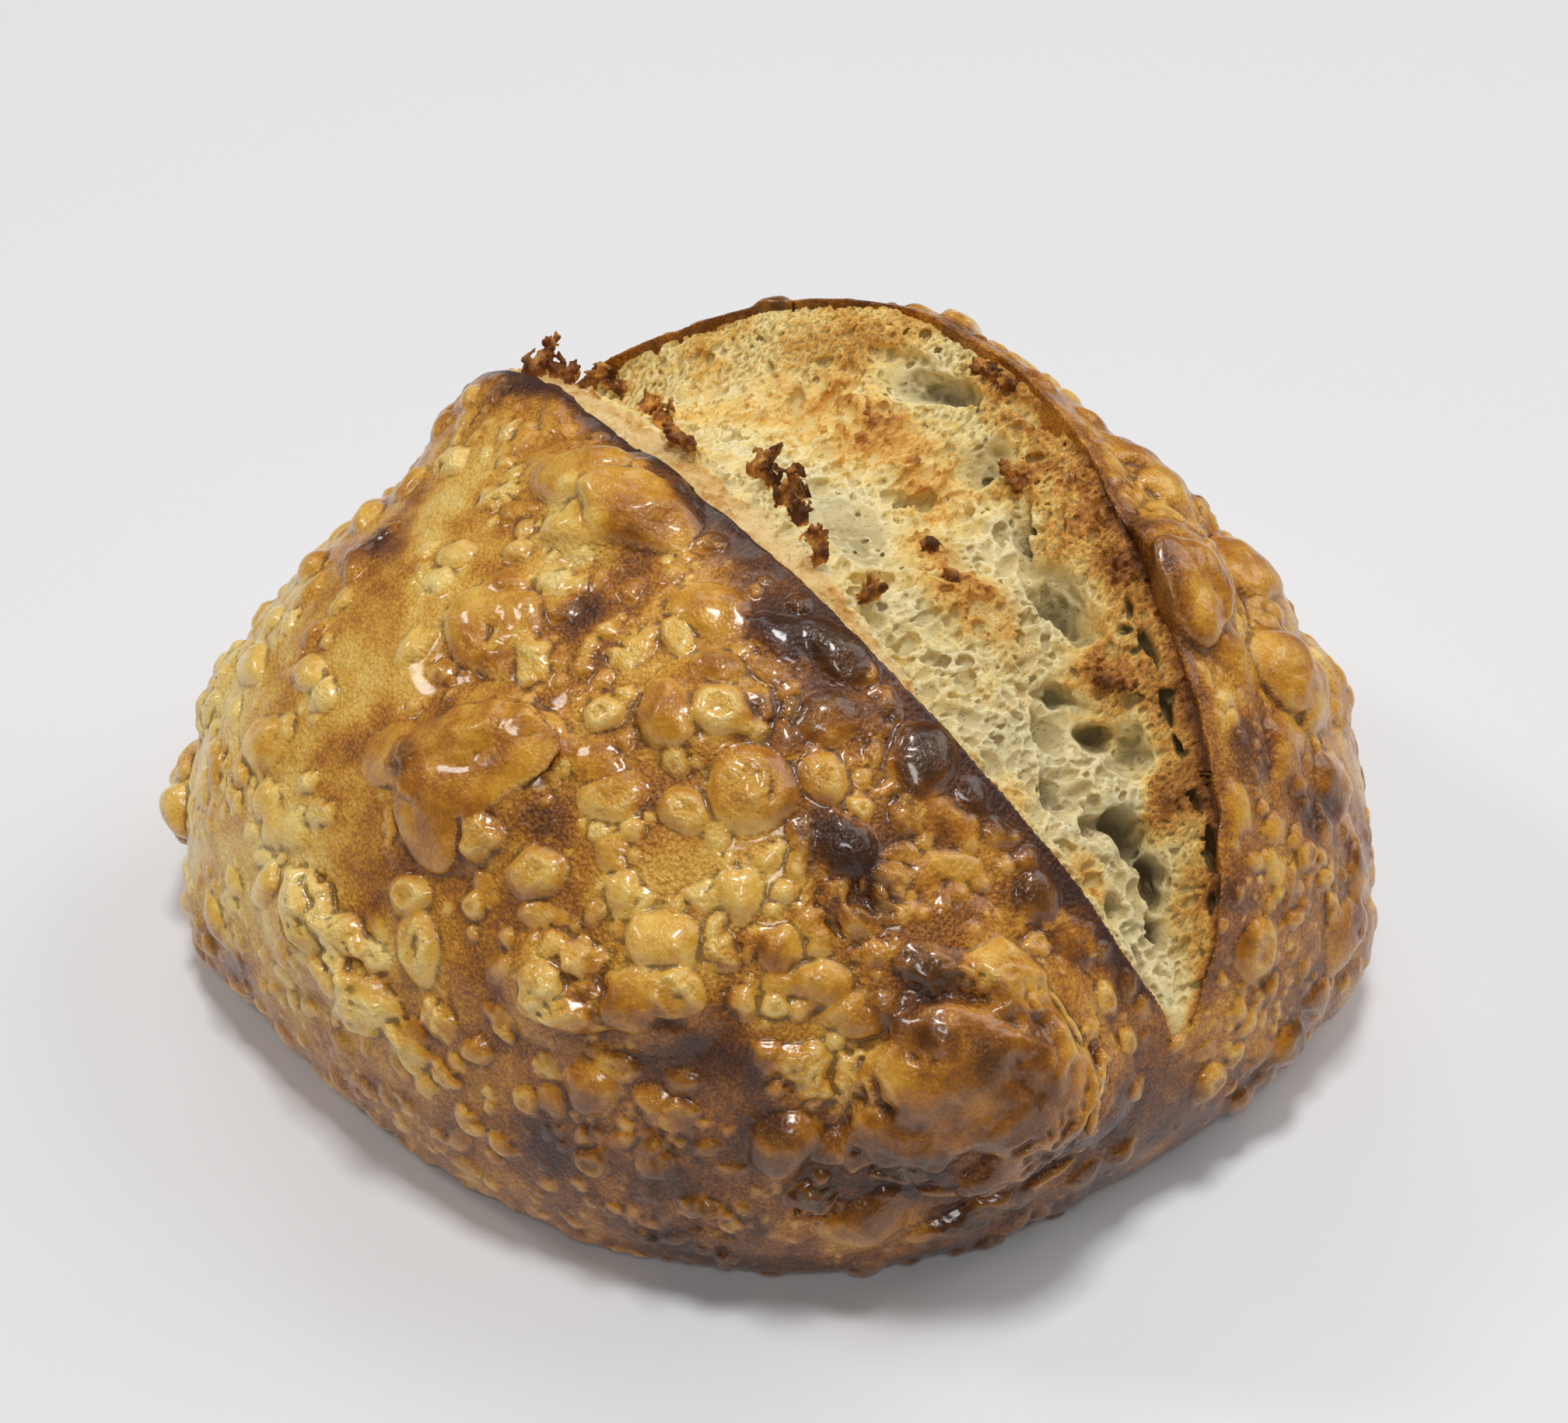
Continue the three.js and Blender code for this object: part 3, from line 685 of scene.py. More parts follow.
# Folds that stand up in the slack skin of the large bubble at the front.
PLEATS = [
    (1323, 1398, 68, 7, 126, 1.5, ROUND, -0.8), (1347, 1388, 54, 7, 117, 1.5, ROUND, -0.8),
    (1372, 1402, 58, 7, 100, 1.5, ROUND, -0.8), (1398, 1392, 56, 7, 86, 1.5, ROUND, -0.8),
    (1361, 1298, 38, 7, 46, 1.5, ROUND, -0.8), (1335, 1497, 48, 7, 163, 1.5, ROUND, -0.8),
    (1224, 1513, 62, 7, 178, 1.5, ROUND, -0.8), (1140, 1500, 40, 7, 10, 1.5, ROUND, -0.8),
    (1218, 1300, 30, 7, 60, 1.5, ROUND, -0.8), (1240, 1350, 30, 7, 85, 1.5, ROUND, -0.8),
]
# Slack, crumpled skin in the view: px, py, radius (mm), height (mm), size of its folds (mm), turn.
CRUMPLED = [
    (1035, 1365, 6, 0.9, 3.2, -50), (1085, 1385, 6, 1.0, 4.0, 100), (1140, 1380, 6, 1.0, 5.0, 60),
    (1190, 1325, 7, 1.2, 5.5, 45), (1290, 1262, 8, 1.2, 4.5, 20), (1235, 1250, 6, 1.0, 4.0, 30),
    (1325, 1340, 10, 1.3, 7.0, 60), (1250, 1430, 12, 1.1, 8.0, 130), (1180, 1490, 9, 0.9, 5.5, 170),
    (1310, 1452, 7, 1.6, 3.0, 110), (1380, 1400, 9, 1.3, 3.6, 95), (1395, 1330, 6, 1.0, 3.2, 70),
    (1040, 1540, 6, 1.5, 3.2, 150), (1230, 1545, 11, 1.0, 4.2, 165), (1080, 1470, 5, 1.1, 3.5, 90),
    (1185, 1240, 6, 0.7, 4.5, 30), (1330, 1480, 8, 1.0, 3.6, 150), (395, 1165, 8, 1.3, 3.6, 60),
    (440, 1230, 7, 1.1, 3.6, 40), (478, 1295, 7, 1.1, 3.6, 40), (535, 1205, 5, 0.8, 3.0, 80),
    (700, 1270, 7, 0.8, 3.6, 20), (835, 1275, 7, 0.6, 4.0, 20), (560, 600, 4, 0.6, 3.0, 150),
    (640, 632, 4, 0.5, 3.0, 10), (600, 930, 8, 0.7, 6.0, 170), (690, 935, 5, 0.7, 3.6, 20),
    (820, 645, 8, 0.6, 5.0, 35), (750, 610, 7, 0.5, 5.0, 20), (1075, 1150, 7, 1.1, 3.5, 60),
    (1140, 1130, 5, 1.0, 3.0, 60), (955, 1005, 6, 0.6, 3.4, 70), (905, 1560, 6, 0.8, 3.2, 20),
    (620, 830, 7, 0.6, 4.0, 60), (510, 1080, 6, 0.5, 4.0, 70), (1524, 745, 9, 0.6, 6.0, 66),
    (1640, 860, 8, 0.5, 5.0, 150), (300, 960, 6, 0.6, 3.6, 110), (1715, 1190, 5, 0.6, 3.4, 80),
    (850, 1480, 5, 0.5, 3.4, 60), (560, 1290, 6, 0.8, 3.2, 50),
]


def joint_of(mark):
    """How widely a marked blister runs into the crust, in millimetres."""
    long, kind = mark[2], mark[6]
    if mark in PLEATS:
        return 0.6
    if mark in FAR_MARKS and long > 29:
        return 1.6
    if kind == LOW:
        return 2.2
    return min(0.38 + 0.016 * long, 1.2 if long < 80 else 1.9)


def crust_lumps(tree, rng):
    """The blisters at the landmarks, the low ones first, so that the others stand on them."""
    marks = LEFT_MARKS + NEAR_MARKS + FRONT_MARKS + EAR_MARKS + FAR_MARKS + PLEATS
    made = [place(tree, *mark, rng, joint_of(mark), -0.2) for mark in marks]
    return sorted((lump for lump in made if lump), key=lambda lump: lump.kind != LOW)


def crumple(field, tree, px, py, radius, height, size, turn):
    """Folds the skin round a pixel of the view into sharp, uneven creases."""
    found = seen(tree, px, py)
    if found is None:
        return
    point, normal, _ = found
    window = field.window(point, radius * 1.25)
    axes = field.axes(window)
    d = offsets(axes, point)
    along, across = (sum(d[k] * e[k] for k in range(3)) for e in turned(normal, turn)[:2])
    away = np.sqrt(sum(x * x for x in d)) / radius + 0.25 * grid_noise(axes, radius * 0.6, px)
    rise = creased(along / 2.0, across, size, px + py)
    rise = rise + 0.4 * creased(along / 1.5, across, size * 0.45, px)
    field.values[window] -= (1.35 * height * rise * smooth(1.0, 0.55, away)).astype(np.float32)


def scattered(points, tris, count, rng):
    """Points at random all over a mesh, with its normals."""
    a, b, c = (points[tris[:, k]] for k in range(3))
    face = np.cross(b - a, c - a)
    area = np.linalg.norm(face, axis=1)
    pick = rng.choice(len(tris), count, p=area / area.sum())
    r, s = rng.random(count), rng.random(count)
    flip = r + s > 1
    r[flip], s[flip] = 1 - r[flip], 1 - s[flip]
    at = a[pick] + r[:, None] * (b - a)[pick] + s[:, None] * (c - a)[pick]
    return at, face[pick] / area[pick, None]


def in_view(points):
    """The view's pixels of points, as its landmarks are read."""
    d = points - EYE
    depth = -(d @ BACK)
    k = READ_WIDTH / IMAGE_WIDTH
    px = (IMAGE_WIDTH / 2 + FOCAL_PIXELS * (d @ RIGHT) / depth) * k
    py = (IMAGE_HEIGHT / 2 - FOCAL_PIXELS * (d @ UP) / depth) * k
    return px, py


# Plain, speckled ground, where few blisters stand: px, py, radius in pixels.
PLAIN = [
    (900, 1340, 90), (700, 1130, 60), (860, 1110, 50), (900, 1500, 50), (560, 640, 60), (760, 1000, 40),
    (1260, 1120, 40), (470, 860, 60), (1090, 1270, 30), (1010, 1310, 40), (330, 900, 50), (420, 980, 60),
    (470, 760, 50), (300, 1080, 40), (560, 1050, 50), (440, 1080, 40),
]
TRIES, MOST_SCATTERED = 34000, 3600
LEFT_SIDE = 560  # px; fewer stand to the left of this
SCATTER_KINDS = (ROUND, WINDOW, CRINKLE, LOW)
LARGE_KINDS, SMALL_KINDS = [0.42, 0.14, 0.20, 0.24], [0.9, 0.0, 0.05, 0.05]  # the share of each


def scattered_size(hidden, rng):
    """A blister's half width: small and mostly smaller, and here and there large on the far side."""
    if hidden and rng.random() < 0.10:
        return rng.uniform(3.0, 6.5)
    size = 0.5 + 2.1 * rng.random() ** 2.4
    return size + 1.2 * rng.random() ** 3 if hidden else size


def scatter_lumps(points, tris, marked, rng):
    """Small blisters over the whole crust, larger ones on the side that no landmark shows."""
    at, normal = scattered(points, tris, TRIES, rng)
    u, v = unplaced(at[:, 0], at[:, 1])
    ear, rim, _, _ = lips_at(u, 0)
    opened = (at[:, 2] > 24) & (v > ear - 2.0) & (v < rim + 2.0) & (at[:, 2] > dome_height(u, v) - 12)
    keep = (normal[:, 2] > -0.72) & (at[:, 2] > 2.0) & ~opened
    at, normal = at[keep], normal[keep]
    clumps = noise_at(at, 26, 41) + 0.6 * noise_at(at, 11, 42)
    px, py = in_view(at)
    facing = normal @ BACK > 0.12
    plain = np.zeros(len(at), bool)
    for x, y, radius in PLAIN:
        plain |= facing & (np.hypot(px - x, py - y) < radius)
    centres = np.array([m.centre for m in marked])
    wide = np.array([max(m.radii[:2]) for m in marked])
    taken_at, taken_r = [], []
    lumps = []
    for n in range(len(at)):
        hidden = not facing[n]
        size = scattered_size(hidden, rng)
        want = 0.36 + 0.34 * clumps[n] - (0.55 if plain[n] else 0)
        if rng.random() > want * (0.8 if px[n] > LEFT_SIDE or hidden else 0.5):
            continue
        away = np.linalg.norm(centres - at[n], axis=1) - wide
        if (away < 0.25 * size).any() and rng.random() > 0.12:
            continue
        if taken_at:
            gap = np.linalg.norm(np.array(taken_at) - at[n], axis=1) - np.array(taken_r)
            if (gap < size * 0.7).any():
                continue
        taken_at.append(at[n])
        taken_r.append(size)
        axes = tangents(normal[n], rng.normal(size=3))
        kind = rng.choice(SCATTER_KINDS, p=LARGE_KINDS if size > 1.7 else SMALL_KINDS)
        long = size * rng.uniform(1.0, 1.45)
        tall = size * rng.uniform(0.38, 0.72)
        centre = at[n] - normal[n] * 0.2 * tall
        joint = 1.8 if kind == LOW else 0.3 + 0.16 * size
        tone = rng.uniform(-0.6, 0.5)
        lumps.append(Lump(centre, axes, (long, size, tall), kind, tone, rng, joint))
        if len(lumps) > MOST_SCATTERED:
            break
    return lumps


# ---------------------------------------------------------------------------------------------
# The torn surface between the lips.

CRUMB_STEP = 0.33
CRUMB_LOW, CRUMB_HIGH = (-103, -26, 8), (102, 58, 108)
STRIP_WIDTH = 7.5  # the ear's torn edge
STRIP_TAPER = (5, 68)  # along the score, where the strip narrows
STRIP_DROP = 1.3
STEP_DROP = 4.2  # from the strip down to the crumb
RIM_DROP = 6.0  # from the rim down to the crumb
OPEN_GAP = (3, 28)
EDGE_DROP, LIP_FALL = 0.5, 1.2  # under the lips, and for each millimetre past them
SLAB = 17  # thickness of the crumb's piece
BLOCK = 48  # cells of the grid worked on at a time
TREE_SKIP = 3  # cells from one point to the next in the map that lines of sight meet
HOLLOW_JOINT, SLIT_JOINT, SHARD_JOINT, SPIKE_JOINT = 1.2, 0.3, 0.6, 0.35
PORES, STRIP_PORES, SPIKES = 4600, 2200, 18  # over the crumb, over the strip, and on each shard
STRAIGHT_UP = np.array([0, 0, 1.0])


def bloom_height(u, v):
    """Height of the torn surface, how far it is from the ear's lip and the rim's, and its zones."""
    ear, rim, ear_lift, rim_lift = lips_at(u, 0)
    gap = np.maximum(rim - ear, 0.5)
    opening = smooth(*OPEN_GAP, rim - ear)
    past, short = v - ear, rim - v
    strip = np.minimum(STRIP_WIDTH * (1 - 0.78 * smooth(*STRIP_TAPER, u)), 0.3 * gap)
    band = np.minimum(BAND_WIDTH, 0.36 * gap)
    inner = np.clip(v, ear, rim)
    lift = ear_lift * smooth(strip + 12, strip * 0.5, past) + rim_lift * smooth(2 * band, 0, short)
    z = dome_height(u, inner) + lift
    z = z - opening * STRIP_DROP * smooth(0, strip, past)
    z = z - opening * STEP_DROP * smooth(strip, strip + 5, past) * smooth(0.9 * gap, 0.5 * gap, past)
    z = z - opening * RIM_DROP * smooth(0, band, short) ** 0.8 * smooth(0.75 * gap, band, short)
    z = z - EDGE_DROP - LIP_FALL * np.maximum(-past, 0) - LIP_FALL * np.maximum(-short, 0)
    return z, past, short, strip, band, opening


# Hollows of the crumb in the view, and slits along the rim:
# px, py, half length, half width (pixels), turn (degrees), depth (mm).
HOLLOWS = [
    (1308, 512, 62, 15, 50, 4.5), (1088, 668, 82, 50, 68, 5.5), (1176, 488, 76, 30, 22, 8.0),
    (1140, 455, 40, 20, 10, 4.0), (1252, 592, 34, 26, 60, 6.5), (1298, 664, 30, 19, 70, 10),
    (1316, 720, 26, 20, 70, 5.0), (1352, 764, 52, 28, 65, 9.0), (1378, 800, 30, 22, 70, 6.0),
    (1350, 888, 28, 15, 10, 6.0), (1400, 940, 30, 22, 30, 8.0), (1340, 930, 34, 26, 0, 5.0),
    (1440, 960, 32, 36, 40, 6.0), (1440, 1066, 42, 24, 60, 8.0), (1474, 1130, 36, 18, 70, 10),
    (1462, 1230, 30, 12, 85, 9.0), (1402, 1052, 28, 20, 0, 5.0), (1478, 1190, 24, 12, 80, 7.0),
    (1426, 1160, 24, 16, 60, 5.0), (918, 582, 28, 18, 10, 3.0), (1112, 786, 18, 14, 30, 4.0),
    (1020, 560, 24, 10, 20, 2.5), (1205, 900, 26, 16, 20, 3.0), (1275, 980, 30, 22, 30, 3.5),
    (870, 505, 30, 14, 20, 2.5), (1196, 800, 24, 18, 30, 2.5), (1350, 1010, 34, 22, 40, 5.5),
    (1330, 1080, 24, 14, 50, 3.0),
]
SLITS = [
    (1440, 772, 18, 6, 75, 4.0), (1468, 822, 34, 8, 72, 5.5), (1488, 900, 26, 7, 74, 5.5),
    (1500, 950, 16, 5, 76, 4.0), (1546, 1084, 34, 8, 82, 5.0), (1402, 660, 14, 5, 66, 3.0),
    (1390, 610, 10, 5, 60, 2.5), (1526, 1020, 16, 5, 80, 4.0), (1544, 1150, 14, 4, 85, 3.0),
    (1420, 720, 10, 4, 70, 3.0),
]
# Mounds of the crumb: px, py, radius (mm), rise (mm).
MOUNDS = [
    (1000, 560, 5, 2.0), (1060, 570, 5, 2.2), (1130, 610, 5, 2.4), (1166, 680, 5, 2.2), (1170, 745, 4, 1.4),
    (1195, 600, 9, 2.6), (1200, 690, 8, 2.2), (1010, 480, 12, 2.0), (1110, 540, 8, 2.2), (960, 520, 9, 1.6),
    (1260, 760, 8, 2.0), (1190, 760, 7, 1.5), (1300, 840, 8, 1.6), (1390, 870, 6, 2.6), (1440, 870, 6, 2.4),
    (1350, 960, 5, 1.2), (1290, 900, 7, 1.4), (1400, 1010, 6, 1.8), (1450, 1020, 5, 2.0),
    (1360, 1120, 6, 1.6), (880, 480, 9, 1.4), (1060, 590, 6, 1.4), (1150, 620, 5, 1.8), (1240, 660, 5, 1.4),
    (1120, 440, 9, 1.2),
]
# Toasted shards along the strip: px, py, half length, half width (pixels), turn (degrees), height (mm).
SHARDS = [
    (680, 474, 15, 8, 15, 4.0), (694, 473, 9, 8, -60, 7.0), (708, 478, 15, 8, 15, 4.0),
    (726, 484, 9, 6, 30, 3.0), (776, 482, 12, 8, 30, 4.0), (792, 494, 12, 9, 40, 4.5),
    (786, 474, 7, 6, -40, 5.5), (824, 522, 14, 7, 40, 3.5), (844, 538, 16, 7, 42, 3.5),
    (866, 556, 14, 6, 45, 3.0), (880, 568, 9, 6, 50, 2.5), (965, 604, 15, 10, 50, 6.5),
    (985, 616, 14, 9, 50, 5.5), (975, 594, 8, 6, 10, 7.5), (1002, 642, 14, 8, 55, 5.5),
    (1014, 634, 10, 8, 70, 7.0), (1018, 662, 16, 8, 60, 4.5), (1034, 690, 14, 6, 60, 3.0),
    (1044, 712, 10, 5, 60, 2.2), (1108, 752, 9, 6, 0, 4.0), (1116, 760, 7, 5, 40, 3.5),
    (1098, 762, 6, 4, 20, 2.5), (1290, 604, 9, 7, 40, 3.0), (1296, 618, 7, 5, 40, 2.5),
    (1266, 478, 12, 8, 20, 1.8), (1284, 492, 10, 6, 30, 1.8), (1250, 470, 8, 6, 0, 1.5),
    (1186, 700, 9, 6, 30, 2.2), (1216, 740, 8, 6, 20, 2.0), (1438, 872, 12, 8, 20, 2.5),
    (1412, 866, 9, 6, 10, 2.2),
]


def cells_at(a, b, seed):
    """Distances to the nearest and second nearest of points scattered one to a unit cell."""
    i, j = np.floor(a), np.floor(b)
    near = np.full(a.shape, 9.0)
    after = near.copy()
    for x, y in np.ndindex(3, 3):
        cell = i + (x - 1), j + (y - 1), 0 * i
        across, down = (cell[k] + 0.5 + 0.42 * lattice(*cell, seed + k) for k in range(2))
        d = np.hypot(a - across, b - down)
        after = np.minimum(after, np.maximum(near, d))
        near = np.minimum(near, d)
    return near, after


def bubbles(x, y, size, seed):
    """0 on thin walls, 1 in the middles of the bubbles between them."""
    near, after = cells_at(x / size, y / size, seed)
    return smooth(0.0, 0.5, after - near)


def torn_ground(field):
    """The torn surface as maps over the field's plan: its height and zones, roughened."""
    x, y, _ = field.axes()
    gx, gy = np.meshgrid(x, y, indexing="ij")
    u, v = unplaced(gx, gy)
    plain, past, short, strip, band, opening = bloom_height(u, v)
    slab = np.stack([gx, gy, np.zeros_like(gx)], -1).reshape(-1, 3)

    def sheet(wave, seed):
        return noise_at(slab, wave, seed).reshape(gx.shape)

    cut = smooth(strip + 1.5, strip - 0.5, past)  # 1 on the ear's torn edge
    rough = smooth(0, 4, past) * smooth(0.2, 1.5, short) * opening * (1 - cut)
    rimmed = smooth(1.2, 0.8, (short + 1.2 * sheet(5.0, 50)) / band)
    across, down = gx + 1.1 * sheet(4.0, 55), 0.62 * gy + 1.1 * sheet(4.0, 56)
    large, middle, fine = (bubbles(across, down, *cell) for cell in ((3.9, 57), (1.9, 59), (1.1, 61)))
    patches, spots = smooth(0.0, 0.5, sheet(8.0, 63)), smooth(-0.4, 0.4, sheet(5.0, 64))
    # Strands, drawn out across the score and bent.
    bent = np.stack([noise_at(slab, 19, 45), 0.6 * noise_at(slab, 15, 46), 0 * slab[:, 0]], -1)
    bent = slab + 5 * bent

    def strand(wave, seed):
        return np.abs(noise_at(bent, wave, seed)).reshape(gx.shape)

    torn = 0.7 - 1.1 * np.abs(sheet((9, 14, 9), 53))
    torn = torn - 0.55 * strand((1.5, 5.0, 9), 54) - 0.4 * strand((0.85, 3.0, 9), 66)
    top = plain + rough * (1.3 * sheet((15, 12, 9), 51) + 0.4 * sheet((7, 5, 9), 52) + torn + 0.4)
    top -= rough * (1 - rimmed) * (0.9 * patches * large + 0.4 * spots * middle + 0.14 * fine)
    top -= rough * rimmed * (0.45 * middle + 0.75 * fine)
    pitted = 0.45 * bubbles(gx, gy, 0.95, 65) + 0.45 * middle * smooth(-0.2, 0.5, sheet(5.0, 67))
    top -= cut * smooth(0.3, 1.5, past) * opening * pitted
    slope = np.gradient(top, field.step)
    return SimpleNamespace(
        x=gx, y=gy, top=top, plain=plain, past=past, short=short, strip=strip, band=band,
        opening=opening, rough=rough, cut=cut, steep=np.sqrt(1 + slope[0] ** 2 + slope[1] ** 2),
        edge=np.minimum(np.minimum(past, short) + 1.5, (0.985 - share(u, v)) * 90),
    )


def surface_tree(gx, gy, top, keep, skip):
    """A tree of the torn surface as a height map, for lines of sight."""
    xs, ys, zs, ok = (a[::skip, ::skip] for a in (gx, gy, top, keep))
    n, m = xs.shape
    points = np.stack([xs, ys, zs], -1).reshape(-1, 3)
    i, j = np.meshgrid(np.arange(n - 1), np.arange(m - 1), indexing="ij")
    a = (i * m + j).ravel()
    quads = np.stack([a, a + m, a + m + 1, a + 1], 1)
    return tree_of(points, quads[ok.ravel()[a]])


def crumb_tree():
    """The torn surface without its roughness, for marks of colour."""
    x, y = np.meshgrid(np.arange(-102, 102, 1.5), np.arange(-25, 58, 1.5), indexing="ij")
    u, v = unplaced(x, y)
    top, past, short, _, _, _ = bloom_height(u, v)
    return surface_tree(x, y, top, (past > -1) & (short > -1) & (share(u, v) < 0.97), 1)


def raise_mounds(ground, tree):
    lift = np.zeros_like(ground.top)
    for px, py, radius, rise in MOUNDS:
        found = seen(tree, px, py)
        if found is not None:
            away = np.hypot(ground.x - found[0][0], ground.y - found[0][1]) / radius
            lift += rise * np.maximum(1 - away**2, 0) ** 2
    ground.top = ground.top + lift * ground.rough


def fill_crumb(field, ground):
    """The slab under the torn surface, with grain and strands, one block of cells after another."""
    axes = field.axes()
    field.values[:] = SURFACE_BAND
    maps = (ground.top, ground.plain, ground.steep, ground.edge, ground.rough)
    sheets = [a.astype(np.float32)[:, :, None] for a in maps]
    for start in range(0, field.size[0], BLOCK):
        part = slice(start, start + BLOCK)
        live = ground.edge[part] > -2
        if not live.any():
            continue
        heights = ground.top[part][live]
        span = np.searchsorted(axes[2], (heights.min() - SLAB - 4, heights.max() + 3))
        span = slice(*np.clip(span, 0, field.size[2]))
        z = axes[2][span].astype(np.float32)
        over, plain, tilt, side, loose = (a[part] for a in sheets)
        values = np.maximum((z - over) / tilt, plain - SLAB - z)
        values = np.maximum(values, -side)
        cells = axes[0][part], axes[1], axes[2][span]
        grain = np.abs(grid_noise(cells, (1.5, 3.2, 2.0), 61))
        strands = np.abs(grid_noise(cells, (0.85, 3.6, 1.2), 62))
        field.values[part, :, span] = values + loose * (0.13 * grain + 0.26 * strands - 0.12)


def add(field, owner, lumps, lump, cut):
    lumps.append(lump)
    stamp(field, owner, len(lumps), lump, cut)


def sunk_to(lump, height):
    """The same lump with another height over or under the surface."""
    lump.radii[2] = height
    lump.reach = max(lump.radii) * LUMP_REACH + 2
    return lump


def cut_hollows(field, owner, lumps, tree, rng):
    for mark in HOLLOWS + SLITS:
        *ellipse, deep = mark
        joint = SLIT_JOINT if mark in SLITS else HOLLOW_JOINT
        made = place(tree, *ellipse, 1.0, DENT, 0, rng, joint, 0)
        if made is not None:
            made = sunk_to(made, deep)
            made.centre = made.centre + made.axes[2] * 0.22 * deep
            add(field, owner, lumps, made, True)


def cut_pores(field, ground, rng):
    """Pores: stretched across the score, crowded and of many sizes, in the hollows as well."""
    filled = field.values < 0
    floor = field.axes()[2][field.size[2] - 1 - np.argmax(filled[:, :, ::-1], 2)]
    top = np.where(filled.any(2) & (floor > ground.top - 12), floor, ground.top)
    hollow = ground.top - top > 0.9
    ground.top = top
    rise_x, rise_y = (np.clip(rise, -1.5, 1.5) for rise in np.gradient(top, field.step))
    ok = np.argwhere((ground.rough > 0.15) & (ground.past > ground.strip - 1))
    for n, (i, j) in enumerate(ok[rng.integers(0, len(ok), PORES)]):
        size = 0.34 + 0.7 * rng.random() ** 2.4 + (rng.uniform(0.4, 1.5) if n % 11 == 0 else 0)
        if hollow[i, j] and n % 3:
            continue
        if ground.short[i, j] < ground.band[i, j] or hollow[i, j]:
            size *= 0.65
        where = np.array([ground.x[i, j], ground.y[i, j], top[i, j] - rng.uniform(-0.6, 0.9) * size])
        normal = np.array([-rise_x[i, j], -rise_y[i, j], 1.0])
        spin = tangents(normal / np.linalg.norm(normal), np.array([rng.normal(0, 0.45), 1.0, 0]))
        radii = [size * rng.uniform(*span) for span in ((1.1, 1.9), (0.7, 1.0), (0.7, 1.3))]
        stamp(field, None, 0, Lump(where, spin, radii, DENT, 0, rng, 0.25), cut=True)


def cut_strip_pores(field, ground, rng):
    """Fine pores of the strip."""
    ok = np.argwhere((ground.cut > 0.5) & (ground.past > 0.6) & (ground.opening > 0.2))
    for i, j in ok[rng.integers(0, len(ok), STRIP_PORES)]:
        size = rng.uniform(0.35, 0.75)
        where = np.array([ground.x[i, j], ground.y[i, j], ground.top[i, j]])
        spin = tangents(STRAIGHT_UP, np.array([1.0, rng.normal(0, 0.3), 0]))
        stamp(field, None, 0, Lump(where, spin, (size * 1.5, size, size), DENT, 0, rng, 0.2), cut=True)


def add_shards(field, owner, lumps, tree, rng):
    for *ellipse, tall in SHARDS:
        made = place(tree, *ellipse, 1.0, CRINKLE, 0, rng, SHARD_JOINT, 0)
        if made is None:
            continue
        made.radii *= 0.85, 0.85, 1.0
        add(field, owner, lumps, sunk_to(made, 0.62 * tall), False)
        for _ in range(SPIKES):
            off = (made.axes[:2] * made.radii[:2, None] * rng.uniform(-1.1, 1.1, (2, 1))).sum(0)
            size = rng.uniform(0.3, 0.62)
            spike = made.axes[2] + rng.normal(0, 0.5, 3)
            spike /= np.linalg.norm(spike)
            e1, e2, _ = tangents(spike, rng.normal(size=3))
            at = made.centre + off + made.axes[2] * rng.uniform(0.2, 0.95) * tall
            radii = (size * rng.uniform(1.5, 2.6), size, size * 0.7)
            add(field, owner, lumps, Lump(at, (spike, e1, e2), radii, CRINKLE, 0, rng, SPIKE_JOINT), False)


def build_crumb(rng):
    """The crumb's field, the lump that each of its cells is on, and the lumps."""
    field = Field(CRUMB_LOW, CRUMB_HIGH, CRUMB_STEP)
    ground = torn_ground(field)
    keep = ground.edge > 0.5
    raise_mounds(ground, surface_tree(ground.x, ground.y, ground.top, keep, TREE_SKIP))
    tree = surface_tree(ground.x, ground.y, ground.top, keep, TREE_SKIP)
    fill_crumb(field, ground)
    owner = np.zeros(field.size, np.int16)
    lumps = []
    cut_hollows(field, owner, lumps, tree, rng)
    cut_pores(field, ground, rng)
    cut_strip_pores(field, ground, rng)
    add_shards(field, owner, lumps, tree, rng)
    return field, owner, lumps


# ---------------------------------------------------------------------------------------------
# Crust.

CRUST_STEP = 0.45
CRUST_LOW, CRUST_HIGH = (-106, -106, -2), (106, 106, 109)
BASE_HEIGHT = 0.0
FLOOR_UNDER = 12.5  # the crust is cut away this far below the torn surface


def open_score(field):
    """Cuts the room for the crumb out of the crust, with frayed lips."""
    x, y, z = field.axes()
    gx, gy = np.meshgrid(x, y, indexing="ij")
    u, v = unplaced(gx, gy)
    top, past, short, _, _, _ = bloom_height(u, v)
    slab = np.stack([gx, gy, np.zeros_like(gx)], -1).reshape(-1, 3)
    waves = (5.0, 81), (1.8, 82), (3.0, 83)
    wide, narrow, fine = (noise_at(slab, *wave).reshape(gx.shape) for wave in waves)
    inside = np.minimum(past - 0.6 - 0.15 * fine, short - 0.6 - 0.55 * (wide + 0.6 * narrow))
    inside = np.minimum(inside, (0.975 - share(u, v)) * 90)
    prism = np.maximum(-inside[:, :, None], (top - FLOOR_UNDER)[:, :, None] - z)
    field.values = np.maximum(field.values, -prism).astype(np.float32)


